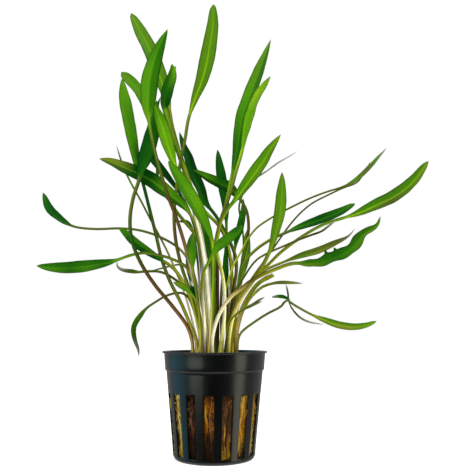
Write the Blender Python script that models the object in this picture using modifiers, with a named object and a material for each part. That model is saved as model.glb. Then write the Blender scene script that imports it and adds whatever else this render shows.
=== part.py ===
"""A potted cryptocoryne: a tuft of narrow-leaved water plants in a slotted plastic net pot.

Every leaf is one solid, a stalk that widens into a blade, and stands on the crown. The crown sits in a hollow
of the rock wool plug, and the plug fills the pot. Sizes are in millimetres and turned to metres when a mesh
is made. The origin is the centre of the pot's foot, +Z is up and the front of the plant faces -Y.
"""

import math

import bmesh
import bpy
import numpy as np
from mathutils import Matrix, Vector
from mathutils.kdtree import KDTree

MM = 0.001
GAP = 0.3

# Net pot
POT_HEIGHT = 50.0
LIP_RADIUS = 26.0
LIP_THICKNESS = 0.8
LIP_SLOPE = 0.3
BAND_TOP_RADIUS = 25.0
BAND_FOOT_RADIUS = 24.4
BAND_HEIGHT = 9.3
BAND_STEP = 0.5
WALL_TOP_RADIUS = 23.75
WALL_FOOT_RADIUS = 19.7
FOOT_RADIUS = 18.6
CORNER_HEIGHT = 1.5
WALL = 0.9
STEP_WALL = 0.6
FLOOR = 1.2
FLOOR_CORNER = 0.3
POT_STEPS = 48
SLOTS = 16
SLOT_TOP = 30.5
SLOT_FOOT = 2.4
SLOT_TOP_WIDTH = 4.9
SLOT_FOOT_WIDTH = 4.2
SLOT_CUT = 12.0
SLOT_PHASE = math.radians(-94.8)
FLOOR_SLITS = 8
FLOOR_SLIT = (7.0, 2.4)
FLOOR_SLIT_RADIUS = 11.5

# Rock wool plug and crown. A crown level has its share of the half widths and how far it is below the top, as
# a share of the depth.
PLUG_FOOT = FLOOR + 0.4
PLUG_TOP = 45.2
PLUG_FOOT_RADIUS = 18.2
PLUG_TOP_RADIUS = 22.7
PLUG_SIDES = 40
CROWN_TOP = 46.4
CROWN_DEPTH = 10.0
CROWN_HALF_X = 13.4
CROWN_HALF_Y = 13.0
CROWN_SIDES = 20
CROWN_LEVELS = [(0.45, 1.0), (0.82, 0.72), (1.0, 0.38), (1.03, 0.12), (1.0, 0.0)]
CROWN_LUMPS = 5
CROWN_LUMP = 0.035

# The eye that the leaf routes are seen from, and the sight plane that they are drawn on. The plane faces the
# eye and passes close to the pot's rim, where a millimetre on it is a millimetre of the plant.
EYE = np.array([10.0, -280.0, 58.0])
PITCH = math.radians(10.25)
SIGHT_DISTANCE = 275.5
SIGHT_CENTRE = np.array([10.0, 110.0])
RIGHT = np.array([1.0, 0.0, 0.0])
FORWARD = np.array([0.0, math.cos(PITCH), math.sin(PITCH)])
UP = np.array([0.0, -math.sin(PITCH), math.cos(PITCH)])

# Leaf shape. A blunt leaf keeps some of its thickness at the tip, and a leaf's lean is read at LEAN_AT of its
# length, towards a place high above the pot's axis.
STATION_STEP = 2.0
ROUTE_SAMPLES = 600
BLADE_THICKNESS = 0.8
FLATTENING = 5.0
FOLDING = 4.0
BLUNT_END = 0.8
LEAN_AT = 0.8
LEAN_RISE = 100.0

# Leaf sections: a stalk's spacing, the blade's count, the bend in radians from one section to the next
STALK_STEP = 34.0
BLADE_STEPS = 7.0
BEND_STEP = 0.36
LEAST_SECTIONS = 8

# Room between neighbouring leaves, less of it near their feet, and how they are moved apart
CLEARANCE = 1.0
FOOT_CLEARANCE = 0.4
FOOT_STRETCH = 30.0
SETTLING_COLUMNS = (-0.9, -0.45, 0, 0.45, 0.9)
SETTLING_ROUNDS = 240
SETTLING_REACH = 16.0
SETTLING_RATE = 0.7
HOLD = 0.01

LEAF_COLOURS = {
    "bright": (0.12, 0.34, 0.010),
    "mid": (0.055, 0.20, 0.008),
    "dark": (0.010, 0.070, 0.006),
    "olive": (0.13, 0.19, 0.015),
    "dry": (0.10, 0.10, 0.05),
}


class Leaf:
    """One leaf. Its stalk and blade are routes on the sight plane, foot has its x and y on the crown, and
    depth says how far behind the pot's axis the leaf is half way and at its tip. A turn of 0 shows the upper
    side to the eye, 90 turns it up and inward and 180 shows the underside. A blade widens to peak of its
    length, faster for a small swell, and narrows from there, to a sharper tip for a large point."""

    def __init__(self, foot, stalk, blade, depth, width, thick=1.8, turn=30, twist=0, peak=0.45, swell=0.7,
                 point=0.8, blunt=0, fold=14, green="mid"):
        self.foot = foot
        self.stalk = stalk
        self.blade = blade
        self.depth = depth
        self.width = width
        self.thick = thick
        self.turn = turn
        self.twist = twist
        self.peak = peak
        self.swell = swell
        self.point = point
        self.blunt = blunt
        self.fold = fold
        self.green = green


LEAVES = {
    "tall_centre": Leaf(
        (-5.6, -3.4),
        [(-8.5, 65), (-12.5, 81.5), (-16.5, 93.5), (-19.5, 106.5), (-20.5, 120), (-19.5, 131.5), (-17.5, 145),
         (-14.8, 159)],
        [(-13.4, 167.5), (-10.2, 177.5), (-6.4, 187.5), (-3.8, 197.5), (-1.9, 208.5), (-1, 215),
         (-0.9, 225.4)],
        depth=(-1, 10), width=8.7, turn=20, twist=10, peak=0.57, swell=0.95, point=0.42),
    "tall_left_back": Leaf(
        (-1.6, 0.7),
        [(-1.6, 77.5), (-1.3, 95), (-1.8, 106), (-3.8, 113.5), (-6.6, 119.5), (-9.3, 125), (-11.7, 130.5),
         (-12.8, 135.5), (-14.3, 141.2), (-18.5, 154.5), (-21.5, 165.5)],
        [(-22.5, 171.5), (-25.1, 181.5), (-28.8, 192.5), (-32.8, 202.8), (-37.5, 211.9), (-41.9, 221)],
        depth=(9, 32), width=9.6, turn=25, peak=0.5, swell=0.75, point=0.47, green="olive"),
    "big_front_left": Leaf(
        (-4.9, -6.3),
        [(-6, 62.5), (-9, 80), (-12.5, 95), (-15.8, 107.5), (-19.5, 119), (-23.5, 129.5), (-28.3, 145),
         (-30.8, 155)],
        [(-32.9, 166.5), (-33.5, 176.5), (-32.9, 187.5), (-30.1, 198.5), (-28.2, 203.5), (-23.7, 213)],
        depth=(-12, -20), width=9.4, turn=160, twist=-20, peak=0.42, swell=0.65, point=0.85),
    "left_behind": Leaf(
        (-7.4, 5.2),
        [(-7.5, 62.5), (-6.5, 82.5), (-6.3, 97), (-8.2, 106), (-10.5, 111), (-15, 116.5), (-18.7, 121),
         (-22.8, 127.3), (-28.4, 134.5), (-28.8, 140), (-28.9, 146), (-31, 156)],
        [(-32.3, 165), (-34.5, 173.5), (-38.5, 182.5), (-41.5, 186), (-46.8, 191.6)],
        depth=(16, 40), width=7.3, turn=25, peak=0.72, point=0.42, green="olive"),
    "short_blunt": Leaf(
        (-0.8, -1.9),
        [(-2.3, 62.5), (-2.7, 72.5), (-3.1, 79.5), (-3.9, 88), (-4.6, 94), (-5.8, 101), (-7.2, 109),
         (-9.3, 118), (-12, 132.5), (-16.8, 147.5), (-20.3, 157.5), (-23.5, 167.5)],
        [(-24.7, 171.5), (-25.3, 175), (-24.6, 180), (-23.2, 185), (-21.5, 190), (-20.9, 195)],
        depth=(2, 6), width=7.4, thick=2.0, turn=25, swell=0.55, point=0.6, blunt=3.2, green="dark"),
    "inner_light": Leaf(
        (8.4, -1.6),
        [(8.9, 60), (8.7, 72), (8.6, 85), (8, 95), (6.8, 103), (4.5, 110.3), (1, 115.8), (-4.3, 121),
         (-8.8, 126.5), (-12.5, 132.5), (-16, 138.3)],
        [(-19, 143), (-20.5, 146), (-23.5, 154.5), (-26.5, 164.5), (-29, 171.5), (-30.8, 177)],
        depth=(3, -15), width=7.1, turn=25, peak=0.5, green="bright"),
    "bright_front": Leaf(
        (-2.6, -8.9),
        [(-2.3, 58.5), (-1.8, 67.5), (-1, 80), (-0.5, 92.5)],
        [(-0.8, 105), (-2.6, 110.5), (-5.3, 116), (-8.1, 121.5), (-11.3, 127.5), (-14.8, 133.5),
         (-18.2, 139.2), (-23.4, 147.2)],
        depth=(-17, -42), width=7.6, turn=150, twist=25, peak=0.5, swell=0.9, point=0.7, green="bright"),
    "dark_middle": Leaf(
        (5.3, 2.8),
        [(7.2, 62.5), (8.3, 72), (9.2, 82.5), (10.6, 91), (10.5, 98), (8, 105.5), (5.3, 111), (2, 117.2)],
        [(-0.6, 121), (-4.6, 126), (-7.6, 133.5), (-9.9, 138.5), (-12, 143.5), (-13.5, 149), (-16, 155),
         (-17.8, 161.7)],
        depth=(6, 24), width=6.8, turn=30, green="dark"),
    "curled_left": Leaf(
        (10.7, 5.5),
        [(10.3, 62.5), (10.3, 75), (11.2, 82.5), (13, 93.5), (15.5, 104.5), (16.8, 113.5), (15.8, 122)],
        [(12.5, 128), (7.5, 133.3), (0.5, 136.6), (-3.5, 138.5), (-11, 142.5)],
        depth=(7, 9), width=6.6, thick=1.6, turn=150, twist=-10, peak=0.4, swell=0.55, point=0.6),
    "small_dark_upright": Leaf(
        (3.2, 5.2),
        [(3.2, 62.5), (3, 77.5), (3.7, 88), (5, 99), (5.7, 110)],
        [(5.7, 115), (5.4, 121.5), (4.8, 127.5), (4, 132.5), (2.9, 140), (2, 146.5), (1.3, 152.8)],
        depth=(14, 34), width=5.9, thick=1.5, turn=20, peak=0.62, swell=0.6, point=0.75, green="dark"),
    "tall_right": Leaf(
        (1.2, 0.6),
        [(1.3, 60), (1.4, 70), (1.2, 80), (1.2, 90), (0.9, 98), (0.8, 105), (2.5, 115), (5.3, 125)],
        [(8, 137.5), (10.8, 151.5), (12.7, 164), (13.9, 170), (16, 176), (20.3, 187.5), (24.5, 198.5),
         (28, 208)],
        depth=(3, 20), width=8.1, turn=25, twist=15, peak=0.6, swell=0.8, point=0.95, green="bright"),
    "right_folded": Leaf(
        (0.8, -6.3),
        [(0.3, 62.5), (-0.5, 82.5), (-0.5, 96.5), (0.5, 107.5), (3.5, 119.5), (7.3, 130), (10.3, 141)],
        [(13.4, 151.5), (15.5, 161.5), (17.7, 170.2), (20.9, 178.8), (23.4, 182.8), (27.8, 189.5)],
        depth=(-8, -6), width=5.3, turn=25, twist=10, peak=0.55, swell=0.8, point=0.7, fold=20,
        green="bright"),
    "right_diagonal": Leaf(
        (2.0, -8.7),
        [(3.6, 60), (4.5, 68), (4.8, 77.5), (4.5, 84), (3.5, 91), (1.8, 97.5), (0.6, 104), (1.2, 109.5),
         (2.6, 116), (6, 122.5)],
        [(9.1, 126.4), (12.1, 130.4), (18.1, 138.4), (24.4, 147.4), (27.4, 152.4), (32.9, 160.3)],
        depth=(-14, -30), width=7.1, turn=150, swell=0.6, point=0.85, green="mid"),
    "short_right_upright": Leaf(
        (6.6, -6.3),
        [(7.3, 60), (9, 69), (13.5, 79), (19, 87), (24, 95)],
        [(26.4, 99.8), (28.8, 106), (30.9, 113.5), (32.2, 119), (33, 124.5), (33.3, 130), (33.5, 136),
         (33.5, 141.5)],
        depth=(-18, -48), width=5.7, thick=1.9, turn=155, peak=0.55, swell=0.8, point=0.75, green="bright"),
    "long_right": Leaf(
        (6.2, 0.6),
        [(7, 63.5), (8.5, 70.5), (13, 81), (19.5, 88), (26, 94.5), (32.5, 101), (40, 106.8), (48, 112),
         (55.5, 115.8)],
        [(62.5, 118), (70.5, 120.6), (80.7, 125), (90.4, 129.8), (98.4, 136.1), (106.8, 147)],
        depth=(-3, -12), width=7.4, thick=1.6, turn=150, peak=0.5, swell=1.0, point=0.55),
    "dark_right": Leaf(
        (7.4, 3.0),
        [(8.3, 60), (9, 70), (11.5, 85), (15, 96.5), (20, 102.3), (27.5, 107.5)],
        [(34.5, 110.8), (42.5, 114), (52.5, 117.6), (62.5, 121.6), (70.2, 125.8)],
        depth=(8, 20), width=5.4, thick=1.6, turn=25, peak=0.6, swell=0.6, point=0.5, green="dark"),
    "thread_right_long": Leaf(
        (3.8, -6.4),
        [(4.2, 60), (4.2, 67.5), (5, 80), (6.8, 87.5), (9, 94), (11.8, 99.6), (14.3, 104), (16.7, 108.4),
         (20.8, 113.5), (28.5, 118.8), (37.5, 123.6), (47.5, 128.4), (56.5, 131.8)],
        [(63, 133.8), (70.2, 137.4), (77.8, 144.4), (82, 149.3), (85.8, 153.5)],
        depth=(-10, 4), width=3.0, thick=1.0, turn=35, green="dark"),
    "thread_right_back": Leaf(
        (5.6, 5.3),
        [(9, 67.5), (12.5, 77.5), (18.5, 88.5), (26.5, 99.5), (32, 107.5), (37, 114.5), (42.5, 120.8),
         (48.5, 125.8), (56.5, 130), (64, 133.5)],
        [(70.5, 136), (72.5, 138.2), (75, 141.5), (77.8, 147)],
        depth=(16, 34), width=1.8, thick=1.0, turn=60, green="dark"),
    "thread_top_right": Leaf(
        (5.4, 8.8),
        [(6.5, 62.5), (8.5, 77.5), (13, 90), (14.3, 105), (13.3, 116.5), (12, 124), (15, 132.5),
         (20.5, 138.5)],
        [(24.5, 141.1), (31, 145.8), (37.5, 149.6), (41.3, 151.9)],
        depth=(26, 48), width=1.4, thick=1.1, turn=60, green="dark"),
    "thread_right_middle": Leaf(
        (5.2, -4.0),
        [(9, 70), (10.5, 81.5), (14.5, 89), (20.5, 97.3), (26.5, 101), (34, 104.3), (41.5, 107.5),
         (49, 110.3)],
        [(52.5, 111.5), (54.5, 112.8), (57.5, 115), (60.5, 117.3)],
        depth=(-14, -40), width=1.6, thick=1.0, turn=60, green="dark"),
    "narrow_right": Leaf(
        (7.6, -4.0),
        [(10.5, 70), (14.5, 82), (17.5, 86), (21, 89.5), (25, 92.5)],
        [(33, 96), (42.5, 99.5), (52.5, 102.5), (60, 106), (66.5, 109.3), (70.3, 113.5)],
        depth=(-5, -8), width=3.9, thick=1.3, turn=25, swell=0.8, point=1.4),
    "wavy_right": Leaf(
        (-0.8, -8.7),
        [(-1.3, 58.5), (0.4, 66), (2.2, 70.5), (5.4, 76), (9.5, 80.5), (13, 83), (16.5, 86), (22.5, 89.5),
         (30.5, 93)],
        [(38.5, 95.7), (46.5, 95.9), (55, 97), (62.5, 99.8), (69.2, 104.4), (74.4, 110.4), (81, 115),
         (82.8, 119.5)],
        depth=(-18, -34), width=6.2, thick=1.8, turn=150, peak=0.4, swell=0.95, point=0.75, green="bright"),
    "cut_stalk_right": Leaf(
        (10.6, -1.2),
        [(11, 62.5), (13.5, 73), (17.5, 80.5), (20, 84)],
        [(22.5, 86.5), (25.5, 88.3), (29.6, 90.2)],
        depth=(1, 0), width=2.6, thick=2.2, turn=20, blunt=2.2, fold=0, green="olive"),
    "thin_right": Leaf(
        (9.9, 3.3),
        [(11, 60), (12.5, 67.5), (14, 72), (18, 79), (20.5, 81.5), (23.5, 84)],
        [(26.5, 85.2), (30.5, 86), (35, 86.2), (44, 85.8)],
        depth=(9, 24), width=2.3, thick=1.5, turn=30, green="dark"),
    "short_split_tip": Leaf(
        (4.6, -8.6),
        [(6, 60), (7.5, 67), (9.5, 69.5), (12, 71.5), (15, 73.3)],
        [(18, 75), (21, 76.8), (25, 79)],
        depth=(-16, -30), width=1.8, thick=1.1, turn=60, green="dark"),
    "low_right": Leaf(
        (11.0, 1.1),
        [(11.8, 58.6), (13.2, 61.4), (19.7, 66.5), (26.6, 70.9), (33, 74.3), (36, 77.6), (38.3, 75.9),
         (43.8, 72.6)],
        [(48, 70.4), (55, 67.3), (62.5, 64.8), (70, 64), (76, 65), (81, 67)],
        depth=(2, 4), width=4.0, thick=1.2, turn=25, peak=0.4, swell=0.6, point=0.5, green="olive"),
    "drooping_left": Leaf(
        (-6.4, 2.9),
        [(-8, 61), (-9.5, 68.5), (-11.5, 75), (-13.5, 79), (-16, 80.8), (-18.5, 81.1), (-24.4, 79.6),
         (-30.2, 76.2)],
        [(-33.1, 74.3), (-35.6, 72), (-37.7, 69.4), (-39.6, 66.6), (-40.7, 64), (-40.8, 61), (-40.3, 58),
         (-39.3, 55.2), (-38.3, 52.2), (-38.1, 49)],
        depth=(5, 14), width=3.0, thick=1.2, turn=25, peak=0.3, swell=0.6, point=0.7, green="olive"),
    "long_left": Leaf(
        (-5.2, -1.7),
        [(-6, 62.5), (-7.5, 72.5), (-10.5, 85.5), (-14.5, 94), (-21, 97.8), (-28.5, 100), (-36, 101),
         (-43.5, 99.5)],
        [(-47.5, 98), (-55, 95.9), (-65, 94.2), (-75, 93.4), (-82.5, 93.7), (-89.3, 94.6)],
        depth=(-12, -24), width=6.45, thick=1.4, turn=155, peak=0.52, swell=0.65, point=0.7),
    "upper_left_small": Leaf(
        (-4.2, 2.9),
        [(-6.5, 67.5), (-9.5, 85), (-12.5, 96), (-18, 103.3), (-27.5, 109), (-37.5, 112.3), (-47.5, 113.3),
         (-60, 113)],
        [(-70, 114.1), (-74.7, 116.2), (-78.9, 119.2), (-82.8, 123), (-86, 131.3)],
        depth=(10, 28), width=5.2, thick=1.3, turn=25, peak=0.6, swell=0.75, point=0.7),
    "left_middle": Leaf(
        (-7.4, -1.7),
        [(-7.5, 60), (-9.5, 70), (-12.5, 79), (-16.5, 87.5), (-20, 92.5)],
        [(-23.5, 95.5), (-29.5, 99), (-35, 102.5), (-40.5, 106.5), (-45, 111), (-48.3, 114)],
        depth=(1, -4), width=5.1, thick=1.7, turn=25, peak=0.55, point=0.6, green="dark"),
    "broad_left": Leaf(
        (-3.0, -1.7),
        [(-5, 67.5), (-6.3, 87.5), (-8.1, 104.5), (-10, 114.5)],
        [(-11.8, 119.3), (-15.7, 124.4), (-20.4, 128.5), (-26.4, 133.1), (-32.1, 137.4), (-38, 140.5),
         (-46, 144), (-52.5, 146.7), (-58, 148.2)],
        depth=(-3, -14), width=8.4, thick=1.5, turn=25, peak=0.5, swell=0.9, point=0.75),
    "left_upright": Leaf(
        (-9.6, 0.6),
        [(-9.2, 56), (-12, 64), (-17, 76), (-22.5, 86.8), (-26.5, 97.5), (-29.5, 110), (-32.5, 122),
         (-35.5, 134)],
        [(-37.2, 140), (-39.1, 146), (-41, 155), (-42.6, 163.5), (-44.5, 173.5), (-45.8, 181.5),
         (-46.3, 188.7)],
        depth=(3, 14), width=7.1, thick=1.8, turn=20, peak=0.66, swell=0.45, point=0.75),
    "thin_left_upright": Leaf(
        (-8.6, 2.9),
        [(-8.5, 55), (-10.8, 64.5), (-14.8, 79.5), (-19, 90.5), (-23, 100), (-27.5, 109), (-32.5, 118.3),
         (-37, 127), (-42, 136)],
        [(-44, 140), (-45.5, 143.5), (-47, 147.5), (-49.3, 155)],
        depth=(10, 26), width=1.5, thick=1.1, turn=60, green="olive"),
    "dark_left_upright": Leaf(
        (-11.0, -1.8),
        [(-11.3, 56), (-13.8, 64.2), (-21.6, 74.8), (-30.1, 85.1), (-37, 95.8), (-41.6, 107.5),
         (-42.5, 118), (-40.9, 128.5)],
        [(-38, 137.5), (-37.1, 142.5), (-35.6, 147.5), (-34.2, 152.5), (-32.6, 158), (-31, 164.5),
         (-30, 171), (-29.2, 177.5)],
        depth=(-16, -2), width=9.2, thick=1.8, turn=150, peak=0.5, green="dark"),
    "hidden_dark": Leaf(
        (-2.4, 5.2),
        [(-3.8, 62.5), (-5.5, 87.5), (-8, 105), (-11.5, 118)],
        [(-14.1, 124.8), (-18, 131.3), (-23.8, 139.2), (-30.3, 147), (-33, 152), (-33.3, 158), (-31.8, 166),
         (-29.5, 173), (-27.3, 179)],
        depth=(14, 22), width=5.6, thick=1.5, turn=30, peak=0.55, swell=1.1, green="dark"),
    "folded_right_inner": Leaf(
        (-4.8, -8.6),
        [(-5.5, 67.5), (-6.3, 82.5), (-5.5, 91.5), (-3.5, 96)],
        [(-1.5, 99.6), (0.8, 102.7), (3, 104.9), (5.5, 107), (8, 109.1), (10.5, 111.5), (12.3, 113.4),
         (13.5, 115.6)],
        depth=(-21, -46), width=5.6, thick=1.4, turn=150, peak=0.4, swell=0.8, point=0.5, green="bright"),
    "dark_inner_right": Leaf(
        (7.4, 7.3),
        [(8, 60), (10.5, 73.5), (12.5, 83.5)],
        [(13.5, 88.5), (14.5, 93.5), (15.5, 99.5), (16, 104.5), (16, 112.5)],
        depth=(18, 50), width=5.2, thick=1.5, turn=20, point=0.5, green="dark"),
    "small_left_inner": Leaf(
        (-6.7, -7.6),
        [(-7.5, 65), (-9, 80), (-10.5, 88.5)],
        [(-11.3, 94.5), (-11.9, 99.5), (-11.9, 104), (-11.4, 108), (-10.6, 111.5)],
        depth=(-25, -50), width=5.0, thick=1.4, turn=155),
    "thin_inner_left": Leaf(
        (-6.0, 7.4),
        [(-7, 62.5), (-9.5, 75), (-11.5, 82.5)],
        [(-12.5, 87.5), (-13.5, 93.5), (-14.3, 100.5)],
        depth=(20, 44), width=2.8, thick=1.3, turn=30, green="dark"),
    "short_young_dark": Leaf(
        (-6.9, -5.8),
        [(-7.4, 60), (-7.8, 68), (-8.4, 74)],
        [(-9, 77.5), (-10.3, 81), (-12, 85)],
        depth=(-10.5, -15), width=3.6, thick=1.3, turn=150, point=0.45, green="dark"),
    "small_dark_left": Leaf(
        (-5.2, 5.2),
        [(-6, 62.5), (-7.5, 82.5), (-9, 100), (-10.3, 108.5)],
        [(-11.8, 114), (-14, 116.3), (-18.5, 117)],
        depth=(12, 30), width=3.0, thick=1.3, turn=40, green="dark"),
    "short_bright_left": Leaf(
        (-8.9, -5.6),
        [(-6.5, 60), (-7.8, 71.5), (-9.5, 77.5)],
        [(-12, 80.8), (-14.5, 83), (-17.5, 84.8), (-21, 86.5)],
        depth=(-14, -22), width=3.7, thick=1.2, turn=150, green="bright"),
    "curled_old": Leaf(
        (-6.4, 0.6),
        [(-6.5, 60), (-9, 72.5), (-13.5, 82), (-20, 87.8), (-27, 91.5), (-34.5, 91.8)],
        [(-38, 91.5), (-42, 91.8), (-45.5, 92.3), (-47.8, 93.3), (-49, 95), (-48.8, 97)],
        depth=(2, 2), width=2.6, thick=1.3, turn=30, peak=0.2, green="dry"),
    "thin_strand_left": Leaf(
        (-3.6, 7.6),
        [(-5.5, 62.5), (-7.5, 77.5), (-9.5, 87.5), (-12, 93.5), (-16.5, 95.2)],
        [(-21.5, 94.7), (-27, 93.3), (-32.5, 92)],
        depth=(18, 40), width=1.4, thick=1.0, turn=60, green="olive"),
    "inner_dark": Leaf(
        (-2.0, 2.9),
        [(-2.5, 62.5), (-2.3, 82.5)],
        [(-2.5, 95), (-3.3, 101), (-4.5, 106), (-5.8, 111), (-7, 116.5), (-9.5, 125)],
        depth=(8, 24), width=4.4, thick=1.7, turn=30, green="dark"),
    "centre_dark": Leaf(
        (6.0, -1.6),
        [(6, 62.5), (6, 77.5)],
        [(6, 83.5), (5.8, 90), (5.5, 97.5), (6, 106)],
        depth=(-7, -6), width=3.4, thick=1.4, turn=30, green="dark"),
    "narrow_inner_right": Leaf(
        (8.4, 5.4),
        [(7, 62.5), (7.1, 80), (7.8, 90), (9, 96.5)],
        [(9.8, 102), (10.8, 107.5), (12.4, 112.5), (13.6, 118), (14.2, 123), (14, 128.5)],
        depth=(12, 28), width=4.7, thick=1.3, turn=30, green="dark"),
}


def clear_scene():
    for obj in list(bpy.data.objects):
        bpy.data.objects.remove(obj)


def new_collection(name):
    collection = bpy.data.collections.new(name)
    bpy.context.scene.collection.children.link(collection)
    return collection


def new_material(name, colour, roughness):
    material = bpy.data.materials.new(name)
    material.use_nodes = True
    shader = material.node_tree.nodes["Principled BSDF"]
    shader.inputs["Base Color"].default_value = (*colour, 1)
    shader.inputs["Roughness"].default_value = roughness
    return material


def add_object(name, mesh, collection, material=None):
    obj = bpy.data.objects.new(name, mesh)
    collection.objects.link(obj)
    if material:
        mesh.materials.append(material)
    return obj


def mesh_from_bmesh(name, bm, smooth_angle=None):
    mesh = bpy.data.meshes.new(name)
    bm.to_mesh(mesh)
    bm.free()
    if smooth_angle:
        mesh.shade_smooth()
        mesh.set_sharp_from_angle(angle=math.radians(smooth_angle))
    return mesh


def add_cutter(name, mesh, target, collection):
    cutter = add_object(name, mesh, collection)
    cutter.hide_render = True
    cutter.display_type = "WIRE"
    cut = target.modifiers.new(name, "BOOLEAN")
    cut.operation = "DIFFERENCE"
    cut.solver = "EXACT"
    cut.object = cutter
    return cutter


def turned(name, profile, steps, collection, material):
    """A profile of (radius, height) points, inner side up and outer side down, turned round the Z axis."""
    bm = bmesh.new()
    points = [bm.verts.new((radius * MM, 0, height * MM)) for radius, height in profile]
    for first, second in zip(points, points[1:]):
        bm.edges.new((first, second))
    obj = add_object(name, mesh_from_bmesh(name, bm), collection, material)
    screw = obj.modifiers.new("turn", "SCREW")
    screw.steps = steps
    screw.render_steps = steps
    screw.use_merge_vertices = True
    screw.merge_threshold = 1e-5
    screw.use_smooth_shade = False
    return obj


def make_pot(collection, cutters):
    step = POT_HEIGHT - BAND_HEIGHT
    profile = [
        (0, FLOOR),
        (WALL_FOOT_RADIUS - WALL - FLOOR_CORNER, FLOOR),
        (WALL_TOP_RADIUS - WALL, step + STEP_WALL),
        (BAND_FOOT_RADIUS - WALL, step + STEP_WALL + BAND_STEP),
        (BAND_TOP_RADIUS - WALL, POT_HEIGHT),
        (LIP_RADIUS, POT_HEIGHT),
        (LIP_RADIUS, POT_HEIGHT - LIP_THICKNESS),
        (BAND_TOP_RADIUS, POT_HEIGHT - LIP_THICKNESS - LIP_SLOPE),
        (BAND_FOOT_RADIUS, step + BAND_STEP),
        (WALL_TOP_RADIUS, step),
        (WALL_FOOT_RADIUS, CORNER_HEIGHT),
        (FOOT_RADIUS, 0),
        (0, 0),
    ]
    material = new_material("black_plastic", (0.006, 0.007, 0.007), 0.35)
    pot = turned("net_pot", profile, POT_STEPS, collection, material)

    slots = bmesh.new()
    middle = (WALL_TOP_RADIUS + WALL_FOOT_RADIUS) / 2
    for index in range(SLOTS):
        angle = SLOT_PHASE + index * 2 * math.pi / SLOTS
        made = bmesh.ops.create_cube(slots, size=1)["verts"]
        for corner in made:
            top = corner.co.z > 0
            width = SLOT_TOP_WIDTH if top else SLOT_FOOT_WIDTH
            corner.co = Vector((
                (middle + corner.co.x * SLOT_CUT) * MM,
                corner.co.y * width * MM,
                (SLOT_TOP if top else SLOT_FOOT) * MM,
            ))
        bmesh.ops.rotate(slots, verts=made, matrix=Matrix.Rotation(angle, 3, "Z"))
    add_cutter("slots", mesh_from_bmesh("slots", slots), pot, cutters)

    slits = bmesh.new()
    for index in range(FLOOR_SLITS):
        size = Matrix.Diagonal((FLOOR_SLIT[0] * MM, FLOOR_SLIT[1] * MM, 4 * FLOOR * MM, 1))
        place = Matrix.Translation((FLOOR_SLIT_RADIUS * MM, 0, FLOOR * MM / 2))
        turn = Matrix.Rotation(index * 2 * math.pi / FLOOR_SLITS, 4, "Z")
        bmesh.ops.create_cube(slits, size=1, matrix=turn @ place @ size)
    add_cutter("floor_slits", mesh_from_bmesh("floor_slits", slits), pot, cutters)
    return pot


def crown_form(grow):
    """The crown's closed form, lumpy round its side and level on top. The same form, grown by the gap,
    hollows the plug."""
    bm = bmesh.new()
    rings = []
    for index, (size, below) in enumerate(CROWN_LEVELS):
        height = CROWN_TOP - below * (CROWN_DEPTH + grow)
        ring = []
        for side in range(CROWN_SIDES):
            angle = side * 2 * math.pi / CROWN_SIDES
            lump = 1 + (CROWN_LUMP * math.cos(CROWN_LUMPS * angle + index) if below else 0)
            ring.append(bm.verts.new((
                (CROWN_HALF_X * size * lump + grow) * math.cos(angle) * MM,
                (CROWN_HALF_Y * size * lump + grow) * math.sin(angle) * MM,
                height * MM,
            )))
        rings.append(ring)
    for low, high in zip(rings, rings[1:]):
        for side in range(CROWN_SIDES):
            after = (side + 1) % CROWN_SIDES
            bm.faces.new((low[side], low[after], high[after], high[side]))
    bm.faces.new(rings[0][::-1])
    bm.faces.new(rings[-1])
    return bm


def make_plug(collection, cutters):
    profile = [(0, PLUG_TOP), (PLUG_TOP_RADIUS, PLUG_TOP), (PLUG_FOOT_RADIUS, PLUG_FOOT), (0, PLUG_FOOT)]
    material = new_material("rock_wool", (0.42, 0.27, 0.045), 0.95)
    plug = turned("rockwool_plug", profile, PLUG_SIDES, collection, material)
    add_cutter("crown_hollow", mesh_from_bmesh("crown_hollow", crown_form(GAP)), plug, cutters)
    return plug


def make_crown(collection):
    material = new_material("crown_skin", (0.09, 0.05, 0.02), 0.8)
    return add_object("crown", mesh_from_bmesh("crown", crown_form(0)), collection, material)


def smooth_route(points):
    """A smooth curve through the points, read at even steps: Hermite pieces whose tangents come from the
    neighbouring points."""
    points = np.array(points, float)
    knots = np.concatenate([[0], np.cumsum(np.sqrt(np.linalg.norm(np.diff(points, axis=0), axis=1)))])
    slopes = np.diff(points, axis=0) / np.diff(knots)[:, None]
    spans = np.diff(knots)[:, None]
    inner = (slopes[:-1] * spans[1:] + slopes[1:] * spans[:-1]) / (spans[1:] + spans[:-1])
    tangents = np.concatenate([slopes[:1], inner, slopes[-1:]])
    fine = np.linspace(0, knots[-1], ROUTE_SAMPLES)
    piece = np.clip(np.searchsorted(knots, fine, side="right") - 1, 0, len(points) - 2)
    span = spans[piece]
    step = ((fine - knots[piece]) / span[:, 0])[:, None]
    curve = (
        points[piece] * (2 * step**3 - 3 * step**2 + 1)
        + tangents[piece] * span * (step**3 - 2 * step**2 + step)
        + points[piece + 1] * (3 * step**2 - 2 * step**3)
        + tangents[piece + 1] * span * (step**3 - step**2)
    )
    along = np.concatenate([[0], np.cumsum(np.linalg.norm(np.diff(curve, axis=0), axis=1))])
    even = np.linspace(0, along[-1], round(along[-1] / STATION_STEP) + 1)
    return np.stack([np.interp(even, along, curve[:, axis]) for axis in range(2)], axis=1)


def to_sight(point):
    """Where the eye sees a point of space, on the sight plane."""
    offset = np.asarray(point, float) - EYE
    scale = SIGHT_DISTANCE / (offset @ FORWARD)
    return SIGHT_CENTRE + scale[..., None] * np.stack([offset @ RIGHT, offset @ UP], axis=-1)


def from_sight(seen, depth):
    """The point of space at a depth behind the pot's axis that the eye sees at a place of the sight plane."""
    offset = np.asarray(seen, float) - SIGHT_CENTRE
    ray = SIGHT_DISTANCE * FORWARD + offset[..., :1] * RIGHT + offset[..., 1:] * UP
    return EYE + ray * ((np.asarray(depth) - EYE[1]) / ray[..., 1])[..., None]


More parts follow.
